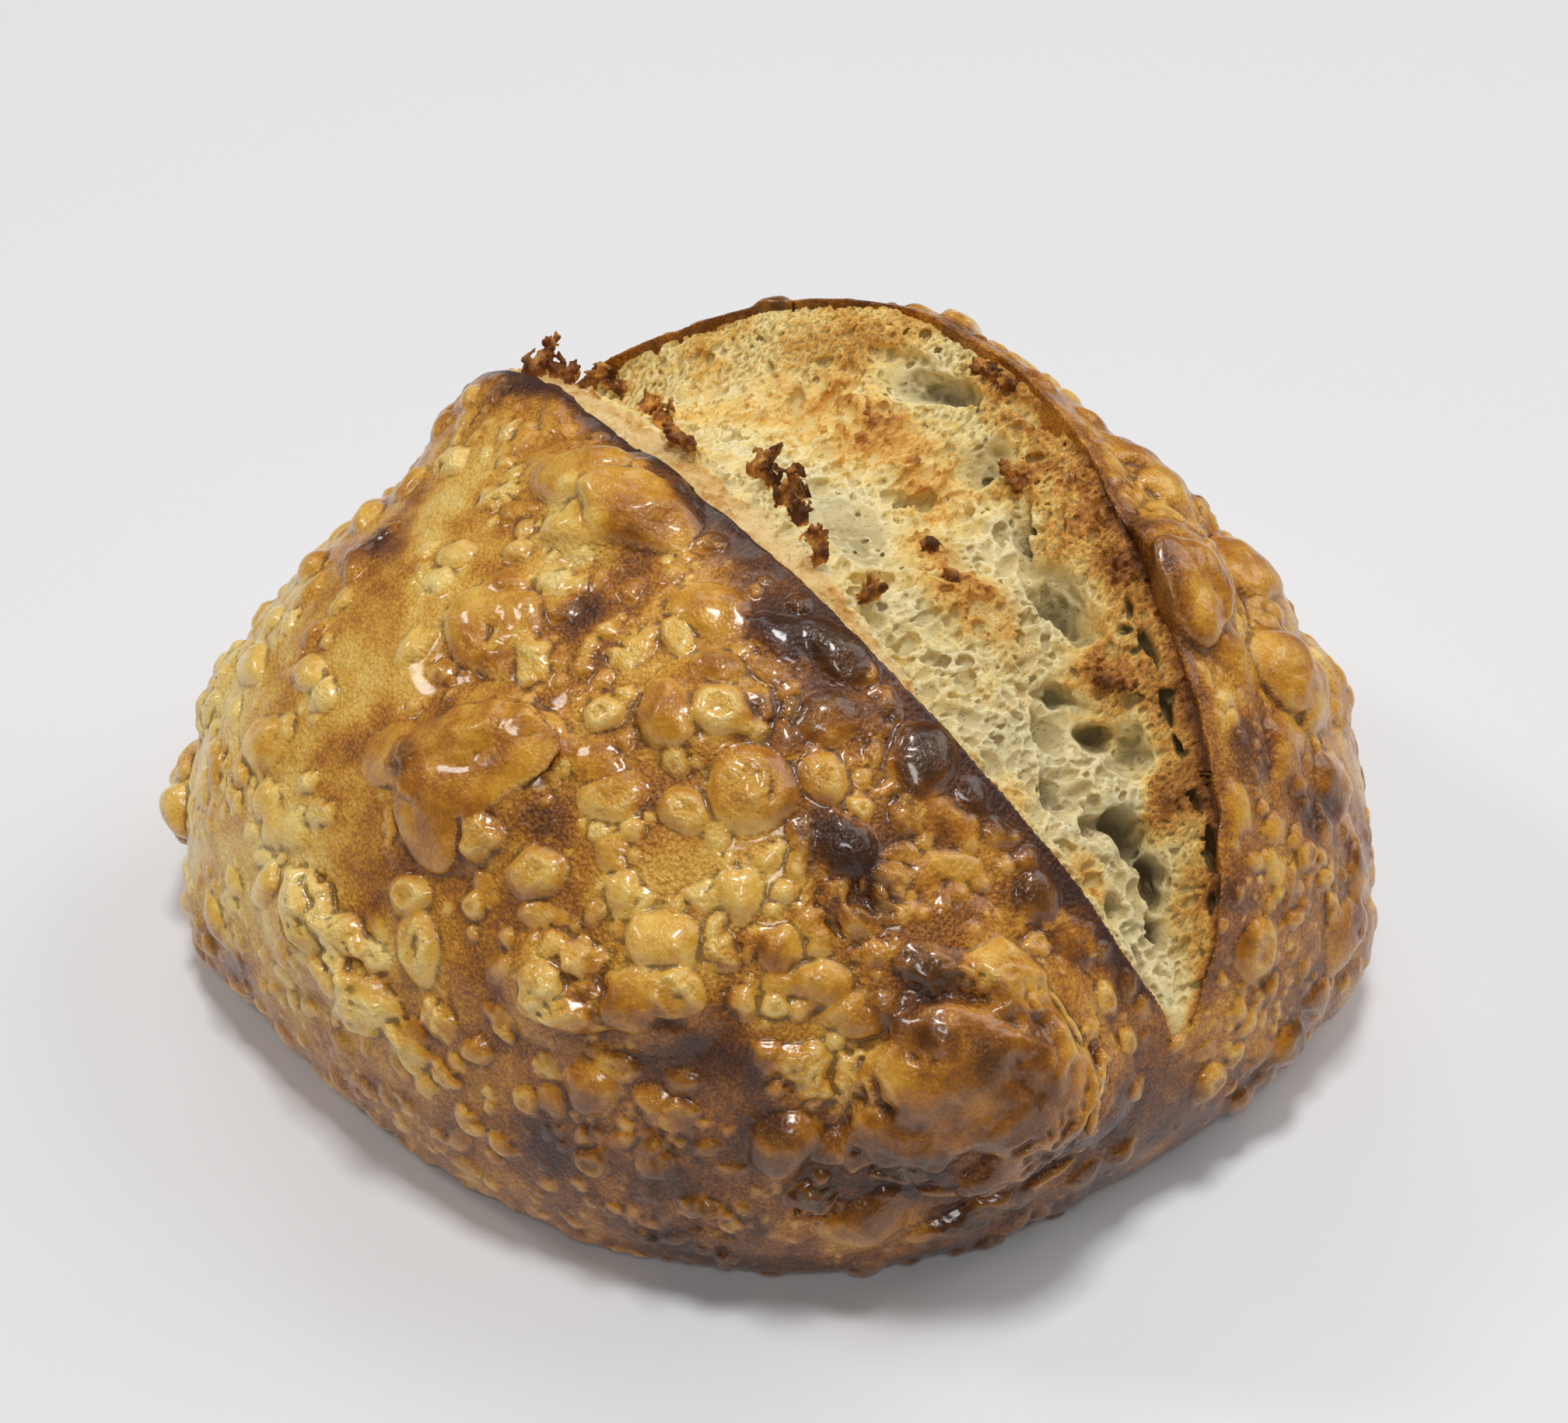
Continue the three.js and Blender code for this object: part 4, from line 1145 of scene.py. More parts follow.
def build_crust(rng):
    """The crust's field, the lump that each of its cells is on, and the lumps."""
    points, tris = form_mesh()
    field = Field(CRUST_LOW, CRUST_HIGH, CRUST_STEP)
    field.from_mesh(points, tris)
    tree = tree_of(points, tris)
    lumps = crust_lumps(tree, rng)
    lumps = scatter_lumps(points, tris, lumps, rng) + lumps
    owner = np.zeros(field.size, np.int16)
    for n, lump in enumerate(lumps, 1):
        stamp(field, owner, n, lump)
    for mark in CRUMPLED:
        crumple(field, tree, *mark)
    # The skin's own unevenness, and the flat base.
    axes = field.axes()
    field.values += (0.16 * grid_noise(axes, 7.0, 71) + 0.07 * grid_noise(axes, 2.6, 72)).astype(np.float32)
    field.values = np.maximum(field.values, BASE_HEIGHT - axes[2]).astype(np.float32)
    open_score(field)
    return field, owner, lumps


# ---------------------------------------------------------------------------------------------
# Meshes.

CRUST_PIECES, CRUMB_PIECES = 3, 2
PIECE_FACES = 197000  # in each piece
CRUST_FACES = CRUST_PIECES * PIECE_FACES
CRUMB_FACES = CRUMB_PIECES * PIECE_FACES
SEAM_DROP, SEAM_LOWEST = 25, 8  # where the faces that close the crumb's slices meet, well under its hollows
CUT_TURN = 20  # where the first slice of the crust starts, in degrees
HEART = np.array([0.0, 0.0, 40.0])  # inside the loaf, where the slices of the crust meet
SIDE_SHARE, SIDE_TURN = 0.9, 105  # of the crust's map: how much is for all but the base, down to this angle
MAP_HEIGHT = 20  # the height that this angle is measured at


def to_mesh(name, points, tris):
    mesh = bpy.data.meshes.new(name)
    mesh.vertices.add(len(points))
    mesh.vertices.foreach_set("co", (points * MM).astype(np.float32).ravel())
    mesh.loops.add(len(tris) * 3)
    mesh.loops.foreach_set("vertex_index", tris.astype(np.int32).ravel())
    mesh.polygons.add(len(tris))
    mesh.polygons.foreach_set("loop_start", np.arange(0, len(tris) * 3, 3, dtype=np.int32))
    mesh.update(calc_edges=True)
    thing = bpy.data.objects.new(name, mesh)
    bpy.context.scene.collection.objects.link(thing)
    return thing


def reduce_to(thing, most):
    have = len(thing.data.polygons)
    if have <= most:
        return
    mod = thing.modifiers.new("fewer", "DECIMATE")
    mod.ratio = most / have
    graph = bpy.context.evaluated_depsgraph_get()
    made = bpy.data.meshes.new_from_object(thing.evaluated_get(graph))
    thing.modifiers.clear()
    old = thing.data
    thing.data = made
    made.name = thing.name
    bpy.data.meshes.remove(old)


def coordinates(mesh):
    co = np.empty(len(mesh.vertices) * 3, np.float32)
    mesh.vertices.foreach_get("co", co)
    return co.reshape(-1, 3).astype(float) / MM


def triangles(mesh):
    mesh.calc_loop_triangles()
    out = np.empty(len(mesh.loop_triangles) * 3, np.int32)
    mesh.loop_triangles.foreach_get("vertices", out)
    return out.reshape(-1, 3)


def edges_of(tris):
    return np.concatenate([tris[:, [0, 1]], tris[:, [1, 2]], tris[:, [2, 0]]])


def keep_largest(points, tris):
    """Only the largest connected body of a mesh."""
    label = np.arange(len(points))
    edges = edges_of(tris)
    while True:
        low = np.minimum(label[edges[:, 0]], label[edges[:, 1]])
        new = label.copy()
        np.minimum.at(new, edges[:, 0], low)
        np.minimum.at(new, edges[:, 1], low)
        new = new[new]
        if (new == label).all():
            break
        label = new
    names, count = np.unique(label[tris[:, 0]], return_counts=True)
    main = names[np.argmax(count)]
    tris = tris[label[tris[:, 0]] == main]
    used = np.unique(tris)
    index = np.zeros(len(points), int)
    index[used] = np.arange(len(used))
    return points[used], index[tris]


def bend(points, tris, normals):
    """How far a surface bends at each vertex, in 1/mm: positive on ridges, negative in creases."""
    start, end = np.unique(np.sort(edges_of(tris), axis=1), axis=0).T
    d = points[end] - points[start]
    far = np.maximum(np.einsum("ij,ij->i", d, d), 1e-4)
    n = len(points)

    def gathered(at_start, at_end):
        return np.bincount(start, at_start, n) + np.bincount(end, at_end, n)

    one = np.einsum("ij,ij->i", d, normals[start]) / far
    two = -np.einsum("ij,ij->i", d, normals[end]) / far
    degree = np.maximum(np.bincount(start, minlength=n) + np.bincount(end, minlength=n), 1)
    value = -2 * gathered(one, two) / degree
    for _ in range(2):
        value = 0.5 * value + 0.5 * gathered(value[end], value[start]) / degree
    return value


def sliced(points, tris, order, count, hub):
    """A closed mesh in closed slices of as many faces each.

    For each slice: which faces are its own, the faces that close it, and where it starts and ends.
    """
    ends = np.quantile(order, np.linspace(0, 1, count + 1))
    ends[-1] += TINY
    for start, end in zip(ends, ends[1:]):
        own = (order >= start) & (order < end)
        edge = tris[own][:, [0, 1, 1, 2, 2, 0]].reshape(-1, 2).astype(np.int64)
        there, back = edge[:, 0] * len(points) + edge[:, 1], edge[:, 1] * len(points) + edge[:, 0]
        rim = edge[~np.isin(there, back)]
        yield own, np.stack([rim[:, 1], rim[:, 0], np.full(len(rim), hub)], 1), start, end


def piece_of(name, points, tris, caps, normals, values, uv):
    """One slice as an object, with its normals, its values, and a UV map."""
    faces = np.concatenate([tris, caps])
    used, index = np.unique(faces, return_inverse=True)
    thing = to_mesh(name, points[used], index.reshape(-1, 3))
    mesh = thing.data
    mesh.shade_smooth()
    mesh.normals_split_custom_set_from_vertices(normals[used].tolist())
    for key, value in values.items():
        layer = mesh.attributes.new(key, "FLOAT", "POINT")
        layer.data.foreach_set("value", np.ascontiguousarray(value[used], np.float32))
    uv = np.concatenate([uv, np.full((len(caps), 3, 2), 0.001)])
    mesh.uv_layers.new(name="OFBake").data.foreach_set("uv", uv.astype(np.float32).ravel())
    return thing


def cut_up(thing, points, tris, normals, values, order, count, heart, mapped):
    """A mesh's slices as objects in its place, closed by faces that meet at `heart`."""
    hub = len(points)
    values = {key: np.append(value, 0) for key, value in values.items()}
    points, normals = np.append(points, heart[None], 0), np.append(normals, STRAIGHT_UP[None], 0)
    pieces = []
    for n, (own, caps, start, end) in enumerate(sliced(points, tris, order, count, hub), 1):
        uv = mapped(own, tris[own], start, end)
        pieces.append(piece_of(f"{thing.name}_{n}", points, tris[own], caps, normals, values, uv))
    bpy.data.objects.remove(thing)
    return pieces


def table_of(lumps, thing, field, owner):
    """What the lumps are, and which one each vertex of a piece is on, as arrays."""
    points = coordinates(thing.data)
    cell = np.clip(np.rint(points / field.step).astype(int) - field.base, 0, field.size - 1)
    return SimpleNamespace(
        own=owner[cell[:, 0], cell[:, 1], cell[:, 2]].astype(int),
        normal=field.slope(points, field.step * 0.9),
        centre=np.array([[0, 0, 0]] + [m.centre for m in lumps]),
        axes=np.array([np.eye(3)] + [m.axes for m in lumps]),
        radii=np.array([[1, 1, 1]] + [m.radii for m in lumps]),
        tone=np.array([0] + [m.tone for m in lumps]),
        kind=np.array([-1] + [m.kind for m in lumps]),
    )


def meshed(name, field, owner, lumps, most):
    """The field's surface as one object of at most `most` faces, and the table of its vertices."""
    points, tris = field.polygons()
    points, tris = keep_largest(points, outward(points, tris))
    thing = to_mesh(name, points, tris)
    reduce_to(thing, most)
    return thing, table_of(lumps, thing, field, owner)


# ---------------------------------------------------------------------------------------------
# Values for the materials, at each vertex.

# Darker and paler patches of the crust in the view: px, py, radius (mm), amount.
# Most darker ones are a deeper bake, and some in the crevices between blisters are painted shade; some paler
# ones on the folds of the front bubble are painted highlights.
BAKED_AND_SHADED = [
    (485, 692, 7, 0.8), (392, 722, 4, 0.45), (690, 1030, 5, 0.34), (732, 782, 4, 0.3), (644, 735, 5, 0.34),
    (1100, 1100, 8, 0.55), (1040, 1080, 6, 0.6), (1080, 1140, 9, 0.3), (1190, 1235, 6, 0.33),
    (1180, 1310, 6, 0.5), (990, 830, 9, 0.5), (1010, 900, 8, 0.3), (980, 950, 9, 0.3), (900, 860, 5, 0.25),
    (700, 1460, 7, 0.45), (1590, 950, 6, 0.45), (1690, 1040, 6, 0.45), (1240, 1330, 12, 0.1),
    (1180, 1420, 12, 0.1), (1280, 1380, 12, 0.1), (1250, 1000, 8, 0.3), (1330, 1130, 8, 0.25),
    (330, 860, 6, 0.2), (240, 1075, 6, 0.5), (232, 1160, 10, 0.55), (262, 1205, 10, 0.5),
    (310, 1245, 9, 0.4), (1480, 700, 7, 0.2), (560, 820, 8, 0.12), (540, 950, 8, 0.25),
    (1040, 1530, 6, 0.1), (940, 1230, 6, 0.15), (1000, 1200, 6, 0.2), (1450, 1350, 10, 0.15),
    (870, 1330, 12, 0.12), (950, 1400, 14, 0.18), (900, 1500, 12, 0.22), (820, 1550, 10, 0.2),
    (1560, 760, 8, 0.15), (610, 520, 6, 0.35),
]
PALE = [
    (680, 880, 12, 0.2), (760, 1010, 8, 0.22), (700, 980, 8, 0.22), (640, 1100, 10, 0.2),
    (800, 1080, 9, 0.15), (400, 1160, 14, 0.2), (470, 1280, 12, 0.2), (350, 1000, 14, 0.1),
    (540, 1190, 10, 0.25), (620, 600, 12, 0.15), (560, 640, 10, 0.18), (700, 1270, 10, 0.14),
    (480, 800, 10, 0.15), (770, 640, 13, 0.35), (720, 700, 10, 0.3), (600, 700, 9, 0.25),
    (560, 760, 8, 0.35), (850, 700, 8, 0.2), (820, 830, 8, 0.25), (520, 740, 7, 0.25), (1500, 720, 9, 0.3),
    (780, 910, 8, 0.12), (420, 900, 9, 0.15), (330, 1100, 12, 0.1), (250, 1000, 10, 0.15),
    (1040, 1365, 8, 0.25), (1110, 1385, 8, 0.2), (1290, 1235, 7, 0.2), (1370, 1350, 6, 0.2),
    (1390, 1430, 6, 0.2), (1250, 1500, 8, 0.15), (1100, 1555, 8, 0.3), (1180, 1572, 8, 0.2),
    (1060, 1590, 8, 0.2), (1540, 1370, 8, 0.1), (860, 600, 8, 0.05), (600, 1350, 10, 0.12),
]
CHARRED = 0.35  # a patch of at least this amount is charred as well
# Toasted and pale places of the crumb in the view: px, py, radius (mm), amount.
TOASTED = [
    (950, 470, 7, 0.1), (1040, 450, 6, 0.1), (985, 530, 6, 0.24), (1090, 555, 8, 0.22),
    (1060, 500, 7, 0.16), (1150, 560, 7, 0.25), (1200, 630, 8, 0.32), (1190, 700, 6, 0.3),
    (1230, 760, 7, 0.22), (1150, 430, 9, 0.08), (1275, 475, 7, 0.3), (1330, 560, 8, 0.25),
    (1380, 660, 8, 0.2), (1400, 860, 6, 0.3), (1430, 720, 6, 0.3), (1310, 620, 5, 0.35),
    (1290, 830, 7, 0.18), (1385, 915, 5, 0.3), (1480, 1050, 4, 0.25), (1390, 1110, 4, 0.25),
    (1540, 1000, 7, 0.25), (1500, 880, 7, 0.28), (1345, 905, 6, 0.32), (1212, 884, 5, 0.26),
    (1300, 1014, 6, 0.25), (1382, 1111, 6, 0.3), (1157, 830, 5, 0.22), (1255, 863, 5, 0.24),
    (1493, 1019, 5, 0.24), (1320, 985, 5, 0.2), (1415, 1165, 4, 0.22), (1325, 800, 4, 0.15),
    (900, 425, 8, 0.08), (1545, 1150, 6, 0.2), (1200, 810, 4, 0.15), (1120, 840, 3, 0.2),
]
FRESH = [
    (1085, 665, 9, 0.25), (1020, 600, 5, 0.2), (860, 510, 6, 0.25), (1180, 490, 9, 0.18),
    (1255, 590, 5, 0.3), (1300, 665, 5, 0.3), (1350, 765, 7, 0.3), (1160, 800, 7, 0.25),
    (1230, 880, 8, 0.28), (1400, 960, 9, 0.3), (1300, 960, 8, 0.22), (1450, 1080, 8, 0.3),
    (1360, 1060, 7, 0.2), (1470, 1190, 7, 0.3), (1490, 1280, 5, 0.15), (1120, 480, 6, 0.2),
    (1210, 540, 5, 0.15), (1110, 620, 5, 0.15), (1400, 1180, 6, 0.2), (1450, 980, 7, 0.25),
]


def patches(points, tree, more, less, edge, wander):
    """For each patch of the view, its amount and its share at each point, fading over its edge."""
    for px, py, radius, amount in more + [(x, y, r, -a) for x, y, r, a in less]:
        found = seen(tree, px, py)
        if found is not None:
            away = np.linalg.norm(points - found[0], axis=1) / radius
            yield amount, smooth(*edge, away + wander)


def paint_crust(thing, marks, tree):
    """How far each place is baked, what its skin is like, and where highlights and shade are painted, on the
    crust's pieces.
    """
    mesh = thing.data
    points, tris = coordinates(mesh), triangles(mesh)
    value = bend(points, tris, marks.normal)
    own = marks.own
    kind, on_lump = marks.kind[own], own > 0
    local = np.einsum("nij,nj->ni", marks.axes[own], points - marks.centre[own]) / marks.radii[own]
    up = np.clip(local[:, 2], 0, 1) * on_lump
    shiny = {-1: 0.0, ROUND: 0.75, WINDOW: 1.0, CRINKLE: 1.0, LOW: 0.45}
    skin = np.vectorize(shiny.get)(kind) * smooth(0.0, 0.35, up)
    thin = np.where(np.isin(kind, (WINDOW, CRINKLE)), 1.0, 0.35)
    clear = thin * smooth(0.3, 0.95, up) * (kind != LOW)

    u, v = unplaced(points[:, 0], points[:, 1])
    ear, rim, _, _ = lips_at(u, 0)
    z = points[:, 2]
    past_ear, past_rim = ear - v, v - rim

    def along(past, start, end):
        """1 at a lip, fading over the crust beside it, where the score is open."""
        return smooth(start, end, np.maximum(past, 0)) * smooth(*OPEN_GAP, rim - ear) * (z > 30) * (past > -3)

    def fleck(wave, seed):
        return noise_at(points, wave, seed)

    lip_wide = 2.6 + 6.0 * smooth(-12, 25, u) * smooth(85, 50, u) + 1.5 * fleck(9, 94)
    lip = along(past_ear, lip_wide * 1.8, lip_wide * 0.25)
    bake = 0.42 + 0.11 * fleck(30, 91) + 0.11 * fleck(9, 92) + 0.09 * fleck(3.2, 93)
    bake += 0.10 * smooth(-5, 45, u) * smooth(0, -30, v) + 0.06 * smooth(0, 40, v) * smooth(100, 70, z)
    bake += 0.37 * lip + 0.16 * along(past_ear, 1.5, 0.2) + 0.14 * along(past_rim, 5, 0.5)
    bake -= 0.10 * smooth(20, -70, u) * smooth(0, -60, v)
    # Darker towards the lower end of the score and low down, and near the base: partly a deeper bake, partly
    # painted shade where less light reaches.
    front = 0.06 * smooth(-10, 40, u) * smooth(0, -30, v) * smooth(75, 40, z)
    bake += 0.19 * smooth(20, 85, u) * smooth(90, 20, z) + front
    bake += 0.06 * smooth(26, 6, z)
    char = np.zeros(len(points))
    for amount, spot in patches(points, tree, BAKED_AND_SHADED, PALE, (1.4, 0.3), 0.3 * fleck(4.0, 95)):
        bake += 0.5 * amount * spot
        if amount >= CHARRED:
            char = np.maximum(char, spot * amount)
    bake += 0.16 * marks.tone[own] * smooth(0.05, 0.6, up)
    bake -= (0.07 * clear + 0.05 * skin) * (1 - smooth(0.55, 0.9, bake))
    values = {
        "bake": np.clip(bake, 0, 1.1),
        "skin": np.clip(skin, 0, 1),
        "clear": np.clip(clear, 0, 1),
        "ridge": np.clip(value * 1.2, -1, 1),
        "under": smooth(4.5, 0.8, z + 1.2 * fleck(6, 96)),
        "char": np.clip(np.maximum(char, 0.6 * lip), 0, 1),
        # A pale ring on each blister's flanks, for a painted rim highlight.
        "painted_rim_highlight": smooth(0.0, 0.10, up) * smooth(0.55, 0.15, up) * (kind != LOW) * on_lump,
    }
    middle = points[tris].mean(1)
    order = np.degrees(np.arctan2(middle[:, 1], middle[:, 0]) - math.radians(CUT_TURN)) % 360
    turn = np.degrees(np.arctan2(points[:, 1], points[:, 0])) - CUT_TURN
    down = np.degrees(np.arctan2(np.hypot(points[:, 0], points[:, 1]), z - MAP_HEIGHT))
    base = SIDE_SHARE + (down - SIDE_TURN) / (180 - SIDE_TURN) * (1 - SIDE_SHARE)
    reach = np.where(down < SIDE_TURN, down / SIDE_TURN * SIDE_SHARE, base)

    def mapped(own, mine, start, end):
        """Round the slice by its own angle, and down it by the angle from the top."""
        off = (turn[mine] - (start + end) / 2 + 180) % 360 - 180
        across = np.clip(0.5 + 0.98 * off / (end - start), 0.003, 0.997)
        return np.stack([across, 0.004 + 0.99 * reach[mine]], -1)

    return cut_up(thing, points, tris, marks.normal, values, order, CRUST_PIECES, HEART, mapped)


def paint_crumb(thing, marks, tree):
    """How far each place is toasted, and where shade is painted: by how deep it lies, towards the lower end
    of the score in the view, and in its cavities, on the crumb's pieces.
    """
    mesh = thing.data
    points, tris = coordinates(mesh), triangles(mesh)
    value = bend(points, tris, marks.normal)
    u, v = unplaced(points[:, 0], points[:, 1])
    top, past, short, strip, band, _ = bloom_height(u, v)
    relief = points[:, 2] - top
    is_shard = (marks.kind == CRINKLE)[marks.own]
    first = 1 + len(HOLLOWS)
    in_slit = (marks.own >= first) & (marks.own < first + len(SLITS))

    def fleck(wave, seed):
        return noise_at(points, wave, seed)

    cut = smooth(strip + 1.2, strip - 0.6, past + 0.5 * fleck(3, 101))
    rim_band = smooth(band * 1.15, band * 0.8, short + 1.5 * fleck(5, 105))
    toast = 0.285 + 0.07 * fleck(11, 102) + 0.07 * fleck(4.0, 103) + 0.04 * fleck(1.5, 104)
    toast += 0.03 * smooth(35, -25, u)
    toast += 0.045 * np.clip(relief + 0.6, -4, 2.5)
    toast += (0.05 + 0.15 * smooth(-5, 35, u) + 0.02 * smooth(35, 65, u)) * rim_band
    toast += (0.04 + 0.26 * smooth(5, 40, u)) * smooth(3.5, 0.3, short)
    toast += 0.05 * np.clip(value, -1, 1)
    for amount, spot in patches(points, tree, TOASTED, FRESH, (1.5, 0.1), 0.35 * fleck(3.0, 109)):
        toast += 0.8 * amount * spot
    tan = 0.36 + 0.14 * fleck(7, 106) + 0.2 * fleck(2.0, 107) + 0.12 * fleck(1.0, 111)
    toast = np.where(cut > 0.5, tan + 0.32 * smooth(1.2, 0.1, past), toast)
    toast = np.where(is_shard, np.maximum(toast, 0.84 + 0.2 * fleck(1.6, 108)), toast)
    # Painted shade: greyer where the surface lies deep and towards the lower end of the score, less where it
    # is toasted.
    deep = smooth(-2.0, -6.5, relief) * (1 - rim_band * 0.6)
    shade = (0.55 + 0.3 * fleck(7, 110)) * smooth(8, 50, u) * (1 - rim_band) * (1 - cut)
    deep = np.maximum(deep, shade) * smooth(0.62, 0.36, toast)
    values = {
        "toast": np.clip(toast, 0, 1.1),
        "deep": np.clip(deep, 0, 1),
        "cut": np.clip(cut, 0, 1),
        "ridge": np.clip(value, -1, 1),
        "band": rim_band,
        # Painted shade, nearly black, in the deepest hollows and along the slits.
        "painted_cavity_shade": np.maximum(smooth(-4.5, -9.5, relief), in_slit * smooth(-0.8, -2.6, relief)),
    }
    corner = points[tris]
    order = corner[:, :, 0].mean(1)
    facing = np.cross(corner[:, 1] - corner[:, 0], corner[:, 2] - corner[:, 0])
    upward = facing[:, 2] > -0.05 * np.linalg.norm(facing, axis=1)
    seam = points[np.abs(points[:, 0] - np.median(corner[:, :, 0])) < 2]
    heart = np.append(seam[:, :2].mean(0), max(seam[:, 2].min() - SEAM_DROP, SEAM_LOWEST))

    def mapped(own, mine, start, end):
        """As seen from above, and the underside in a corner of its own."""
        uv = (points[mine][:, :, :2] - (start - 1, CRUMB_LOW[1])) / (max(end - start, 90.0) * 1.02)
        uv[~upward[own]] = 0.985 + 0.01 * uv[~upward[own]]
        return uv

    return cut_up(thing, points, tris, marks.normal, values, order, CRUMB_PIECES, heart, mapped)


# ---------------------------------------------------------------------------------------------
# Materials.


def srgb(r, g, b):
    def lin(c):
        c /= 255
        return c / 12.92 if c <= 0.04045 else ((c + 0.055) / 1.055) ** 2.4

    return (lin(r), lin(g), lin(b), 1.0)


class Nodes:
    """A material's nodes, made and joined in single calls."""

    def __init__(self, name):
        self.material = bpy.data.materials.new(name)
        self.material.use_nodes = True
        self.tree = self.material.node_tree
        self.tree.nodes.clear()
        self.shader = self.add("ShaderNodeBsdfPrincipled")
        self.tree.links.new(self.shader.outputs[0], self.add("ShaderNodeOutputMaterial").inputs[0])

    def add(self, kind, **values):
        node = self.tree.nodes.new(kind)
        for key, value in values.items():
            setattr(node, key, value)
        return node

    def put(self, socket, value):
        if isinstance(value, bpy.types.NodeSocket):
            self.tree.links.new(value, socket)
        elif value is not None:
            socket.default_value = value

    def attributes(self, *names):
        return [self.add("ShaderNodeAttribute", attribute_name=name).outputs["Fac"] for name in names]

    def math(self, operation, a, b=None, c=None, clamp=False):
        node = self.add("ShaderNodeMath", operation=operation, use_clamp=clamp)
        for socket, value in zip(node.inputs, (a, b, c)):
            self.put(socket, value)
        return node.outputs[0]

    def times(self, a, b):
        return self.math("MULTIPLY", a, b)

    def line(self, a, slope, start, clamp=False):
        """`a` times `slope`, plus `start`."""
        return self.math("MULTIPLY_ADD", a, slope, start, clamp)

    def varied(self, value, noise, amount, clamp=False):
        """A value moved up and down by a noise whose middle is 0.5."""
        return self.line(self.math("SUBTRACT", noise, 0.5), amount, value, clamp)

    def mix(self, amount, a, b):
        node = self.add("ShaderNodeMix", data_type="RGBA")
        self.put(node.inputs["Factor"], amount)
        self.put(node.inputs[6], a)
        self.put(node.inputs[7], b)
        return node.outputs[2]

    def span(self, value, low, high, to_low=0.0, to_high=1.0):
        node = self.add("ShaderNodeMapRange", interpolation_type="SMOOTHSTEP")
        for socket, x in zip(node.inputs, (value, low, high, to_low, to_high)):
            self.put(socket, x)
        return node.outputs[0]

    def ramp(self, value, *stops):
        """Colours over a value: each stop is where it is, then its red, green and blue."""
        node = self.add("ShaderNodeValToRGB")
        ramp = node.color_ramp
        while len(ramp.elements) > 1:
            ramp.elements.remove(ramp.elements[-1])
        for n, (at, *colour) in enumerate(stops):
            element = ramp.elements[0] if n == 0 else ramp.elements.new(at)
            element.position = at
            element.color = srgb(*colour)
        self.put(node.inputs[0], value)
        return node.outputs[0]

    def place(self, *stretch):
        node = self.add("ShaderNodeMapping")
        node.inputs["Scale"].default_value = stretch or (1, 1, 1)
        self.put(node.inputs["Vector"], self.add("ShaderNodeTexCoord").outputs["Object"])
        return node.outputs[0]

    def noise(self, size, detail=3.0, rough=0.55, at=None):
        """Noise whose features are about `size` millimetres."""
        node = self.add("ShaderNodeTexNoise")
        node.inputs["Scale"].default_value = 1 / (size * MM)
        node.inputs["Detail"].default_value = detail
        node.inputs["Roughness"].default_value = rough
        self.put(node.inputs["Vector"], at or self.place())
        return node.outputs["Fac"]

    def cells(self, size, feature="F1", at=None):
        node = self.add("ShaderNodeTexVoronoi", feature=feature)
        node.inputs["Scale"].default_value = 1 / (size * MM)
        self.put(node.inputs["Vector"], at or self.place())
        return node.outputs["Distance"]

    def bump(self, height, distance, strength, below=None):
        node = self.add("ShaderNodeBump")
        node.inputs["Distance"].default_value = distance * MM
        node.inputs["Strength"].default_value = strength
        self.put(node.inputs["Height"], height)
        self.put(node.inputs["Normal"], below)
        return node.outputs[0]

    def set(self, **values):
        for name, value in values.items():
            self.put(self.shader.inputs[name.replace("_", " ")], value)


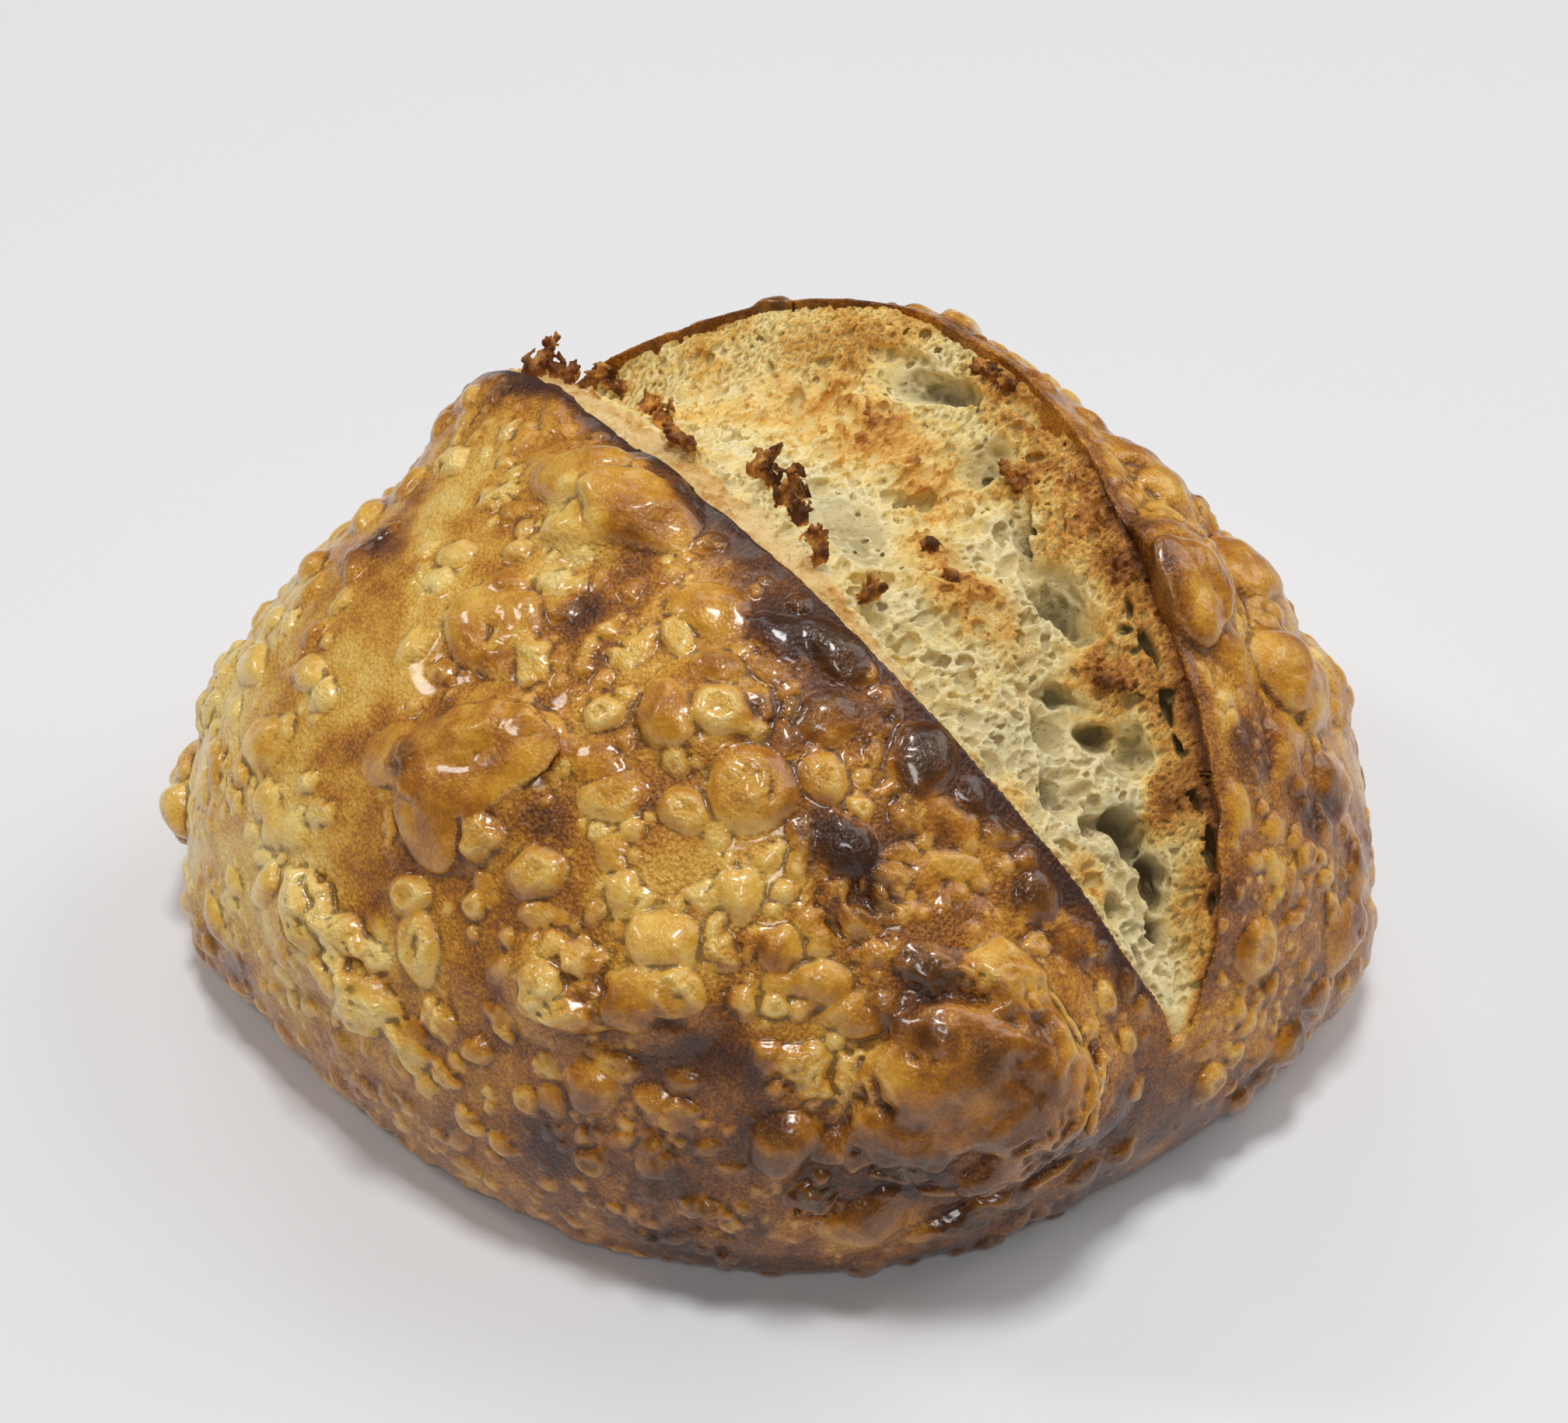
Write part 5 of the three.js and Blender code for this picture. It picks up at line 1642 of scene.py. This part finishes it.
def crust_material():
    n = Nodes("baked_crust")
    bake, skin, clear, ridge = n.attributes("bake", "skin", "clear", "ridge")
    under, char, painted_rim_highlight = n.attributes("under", "char", "painted_rim_highlight")
    ground = n.math("SUBTRACT", 1.0, skin)
    # Speckle of the plain ground: small dark grains in a lighter crust.
    grain, coarse, drift = n.noise(0.55, 4.0, 0.75), n.noise(2.4), n.noise(7.0, 2.0)
    speck = n.span(grain, 0.38, 0.62, -1.0, 1.0)
    tone = n.line(n.times(speck, n.line(ground, 0.75, 0.25)), 0.10, bake)
    tone = n.varied(n.varied(tone, coarse, 0.34), drift, 0.26)
    colour = n.ramp(
        tone,
        (0.00, 252, 220, 136), (0.20, 240, 192, 88), (0.38, 216, 154, 48), (0.54, 180, 112, 26),
        (0.70, 130, 75, 20), (0.85, 90, 48, 14), (1.00, 60, 31, 13),
    )
    colour = n.mix(n.times(clear, 0.12), colour, srgb(226, 190, 104))
    colour = n.mix(n.times(char, 0.34), colour, srgb(86, 44, 20))
    # Painted highlights: paler on the ridges of the skins, and a pale ring on each blister's flanks where
    # light catches the thin film.
    painted_highlight = n.times(n.span(ridge, 0.10, 0.50), n.line(skin, 0.60, 0.08))
    painted_highlight = n.math("MAXIMUM", painted_highlight, n.times(painted_rim_highlight, 0.42))
    lit = n.ramp(tone, (0.2, 252, 220, 140), (0.55, 220, 160, 70), (0.9, 120, 66, 30))
    colour = n.mix(painted_highlight, colour, lit)
    # Painted shade in the creases round and between the blisters; partly their real browner creases.
    colour = n.mix(n.times(n.span(ridge, -0.08, -0.50), 0.62), colour, srgb(64, 31, 10))
    pepper = n.times(n.span(n.cells(1.7), 0.13, 0.07), n.line(skin, 0.4, 0.15))
    colour = n.mix(pepper, colour, srgb(60, 32, 16))
    colour = n.mix(n.times(under, 0.8), colour, srgb(150, 124, 108))
    rough = n.varied(n.line(skin, -0.22, 0.42), coarse, 0.25)
    rough = n.varied(rough, grain, 0.15, clamp=True)
    # Wrinkles of the films, then pebbles of the plain ground.
    wrinkle = n.noise(1.5, 2.5, 0.55, n.place(1.0, 1.5, 0.8))
    fold = n.math("ABSOLUTE", n.math("SUBTRACT", wrinkle, 0.5))
    facet = n.cells(1.5, "DISTANCE_TO_EDGE")
    crumpled = n.line(n.span(facet, 0.0, 0.35), -0.35, n.times(fold, -2.2))
    normal = n.bump(n.times(crumpled, clear), 0.5, 0.9)
    pebbled = n.line(n.noise(1.1, 3.0, 0.65), 1.2, n.times(n.cells(0.85), -0.8))
    normal = n.bump(n.times(pebbled, n.line(ground, 0.85, 0.10)), 0.42, 1.0, normal)
    n.set(Base_Color=colour, Roughness=rough, Normal=normal, IOR=1.45, Specular_IOR_Level=0.45)
    n.set(Coat_Weight=0.52, Coat_Roughness=0.11, Subsurface_Weight=0.25, Subsurface_Scale=0.0018)
    n.set(Subsurface_Radius=(1.0, 0.5, 0.18))
    return n.material


def crumb_material():
    n = Nodes("torn_crumb")
    toast, deep, cut, ridge, band, painted_cavity_shade = n.attributes("toast", "deep", "cut", "ridge", "band", "painted_cavity_shade")
    fibre = n.noise(1.0, 4.0, 0.62, n.place(1.5, 0.36, 0.8))
    fine, drift = n.noise(0.5, 2.0, 0.6), n.noise(3.0, 2.0)
    level = n.varied(n.varied(n.varied(toast, fibre, 0.5), fine, 0.25), drift, 0.2)
    level = n.line(ridge, 0.06, level)
    colour = n.ramp(
        level,
        (0.00, 232, 218, 174), (0.18, 244, 224, 164), (0.32, 250, 220, 140), (0.46, 244, 200, 108),
        (0.60, 224, 166, 78), (0.74, 188, 126, 54), (0.88, 134, 82, 34), (1.00, 86, 50, 22),
    )
    # Painted shade: greyer where the surface lies deep and towards the lower end of the score.
    colour = n.mix(n.times(deep, 0.62), colour, srgb(186, 164, 106))
    # Painted highlights on the crests, where they are not toasted.
    painted_crest_highlight = n.times(n.span(ridge, 0.08, 0.45), n.span(level, 0.62, 0.3, 0.0, 0.5))
    colour = n.mix(painted_crest_highlight, colour, srgb(255, 242, 200))
    # Painted shade in the creases, more so in the toasted band by the rim.
    painted_crease_shade = n.times(n.span(ridge, -0.05, -0.5), n.line(band, 0.5, 0.2))
    colour = n.mix(painted_crease_shade, colour, n.ramp(level, (0.3, 188, 164, 100), (0.6, 128, 72, 26)))
    # Painted shade, nearly black, in the deepest hollows and slits.
    colour = n.mix(n.times(painted_cavity_shade, 0.8), colour, srgb(60, 46, 24))
    tan = n.ramp(level, (0.1, 236, 206, 148), (0.45, 220, 176, 104), (0.7, 186, 126, 58), (0.95, 120, 66, 28))
    colour = n.mix(cut, colour, tan)
    hole = n.span(n.cells(0.8, at=n.place(1.0, 0.7, 0.9)), 0.05, 0.3)
    normal = n.bump(fibre, 0.5, 0.8)
    normal = n.bump(fine, 0.2, 0.6, normal)
    normal = n.bump(hole, 0.25, 0.7, normal)
    # Pores: bumps, and painted shade that browns and darkens their middles.
    colour = n.mix(n.line(hole, -0.28, 0.28), colour, srgb(150, 110, 56))
    n.set(Base_Color=colour, Roughness=0.7, Normal=normal, IOR=1.4)
    n.set(Subsurface_Weight=0.3, Subsurface_Scale=0.003, Subsurface_Radius=(1.0, 0.7, 0.35))
    return n.material


def floor_material():
    n = Nodes("pale_floor")
    n.set(Base_Color=srgb(236, 236, 238), Roughness=0.6)
    return n.material


# ---------------------------------------------------------------------------------------------
# The loaf's pieces.

rng = np.random.default_rng(20)
crust, crust_marks = meshed("crust", *build_crust(rng), CRUST_FACES)
crumb, crumb_marks = meshed("crumb", *build_crumb(rng), CRUMB_FACES)
looks = (
    (paint_crust(crust, crust_marks, tree_of(*form_mesh())), crust_material(), "crust"),
    (paint_crumb(crumb, crumb_marks, crumb_tree()), crumb_material(), "crumb"),
)
for pieces, material, slot in looks:
    for piece in pieces:
        piece.data.materials.append(material)
        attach(piece, "root")
        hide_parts("loaf")


# ---------------------------------------------------------------------------------------------
# The studio, in metres: floor, camera, lights and world.

FLOOR = 6.0
corners = [(-FLOOR, -FLOOR, 0), (FLOOR, -FLOOR, 0), (FLOOR, FLOOR, 0), (-FLOOR, FLOOR, 0)]
plane = bpy.data.meshes.new("floor")
plane.from_pydata(corners, [], [(0, 1, 2, 3)])
floor = bpy.data.objects.new("floor", plane)
bpy.context.scene.collection.objects.link(floor)
floor.data.materials.append(floor_material())


def look_along(thing, at, direction):
    """Puts a camera or a light at a place, looking in a direction."""
    bpy.context.scene.collection.objects.link(thing)
    thing.location = at
    thing.rotation_mode = "QUATERNION"
    thing.rotation_quaternion = direction.to_track_quat("-Z", "Y")


camera = bpy.data.objects.new("camera", bpy.data.cameras.new("camera"))
look_along(camera, Vector(EYE * MM), Vector(-BACK))
camera.data.sensor_width = SENSOR
camera.data.lens = FOCAL_PIXELS * SENSOR / IMAGE_WIDTH
camera.data.clip_start, camera.data.clip_end = 0.01, 50
bpy.context.scene.camera = camera

LIGHTS_AIM = Vector((0, 0, 0.03))
LIGHTS = [  # name, place, side of its square, power
    ("above", (0, 0, 2.6), 0.5, 31), ("back_right", (0.5, 2.2, 2.0), 2, 27),
    ("back_left", (-1.7, 0.8, 2.0), 1, 6), ("left", (-1.8, -1.2, 1.8), 0.4, 10),
    ("front", (1.4, -1.1, 2.2), 0.5, 13),
]
for name, at, side, power in LIGHTS:
    light = bpy.data.objects.new(name, bpy.data.lights.new(name, "AREA"))
    look_along(light, at, LIGHTS_AIM - Vector(at))
    light.data.size = side
    light.data.energy = power

world = bpy.data.worlds.new("studio")
world.use_nodes = True
world.node_tree.nodes["Background"].inputs[0].default_value = (1.0, 0.97, 0.93, 1)
world.node_tree.nodes["Background"].inputs[1].default_value = 0.07
bpy.context.scene.world = world
bpy.context.scene.view_settings.view_transform = "Standard"
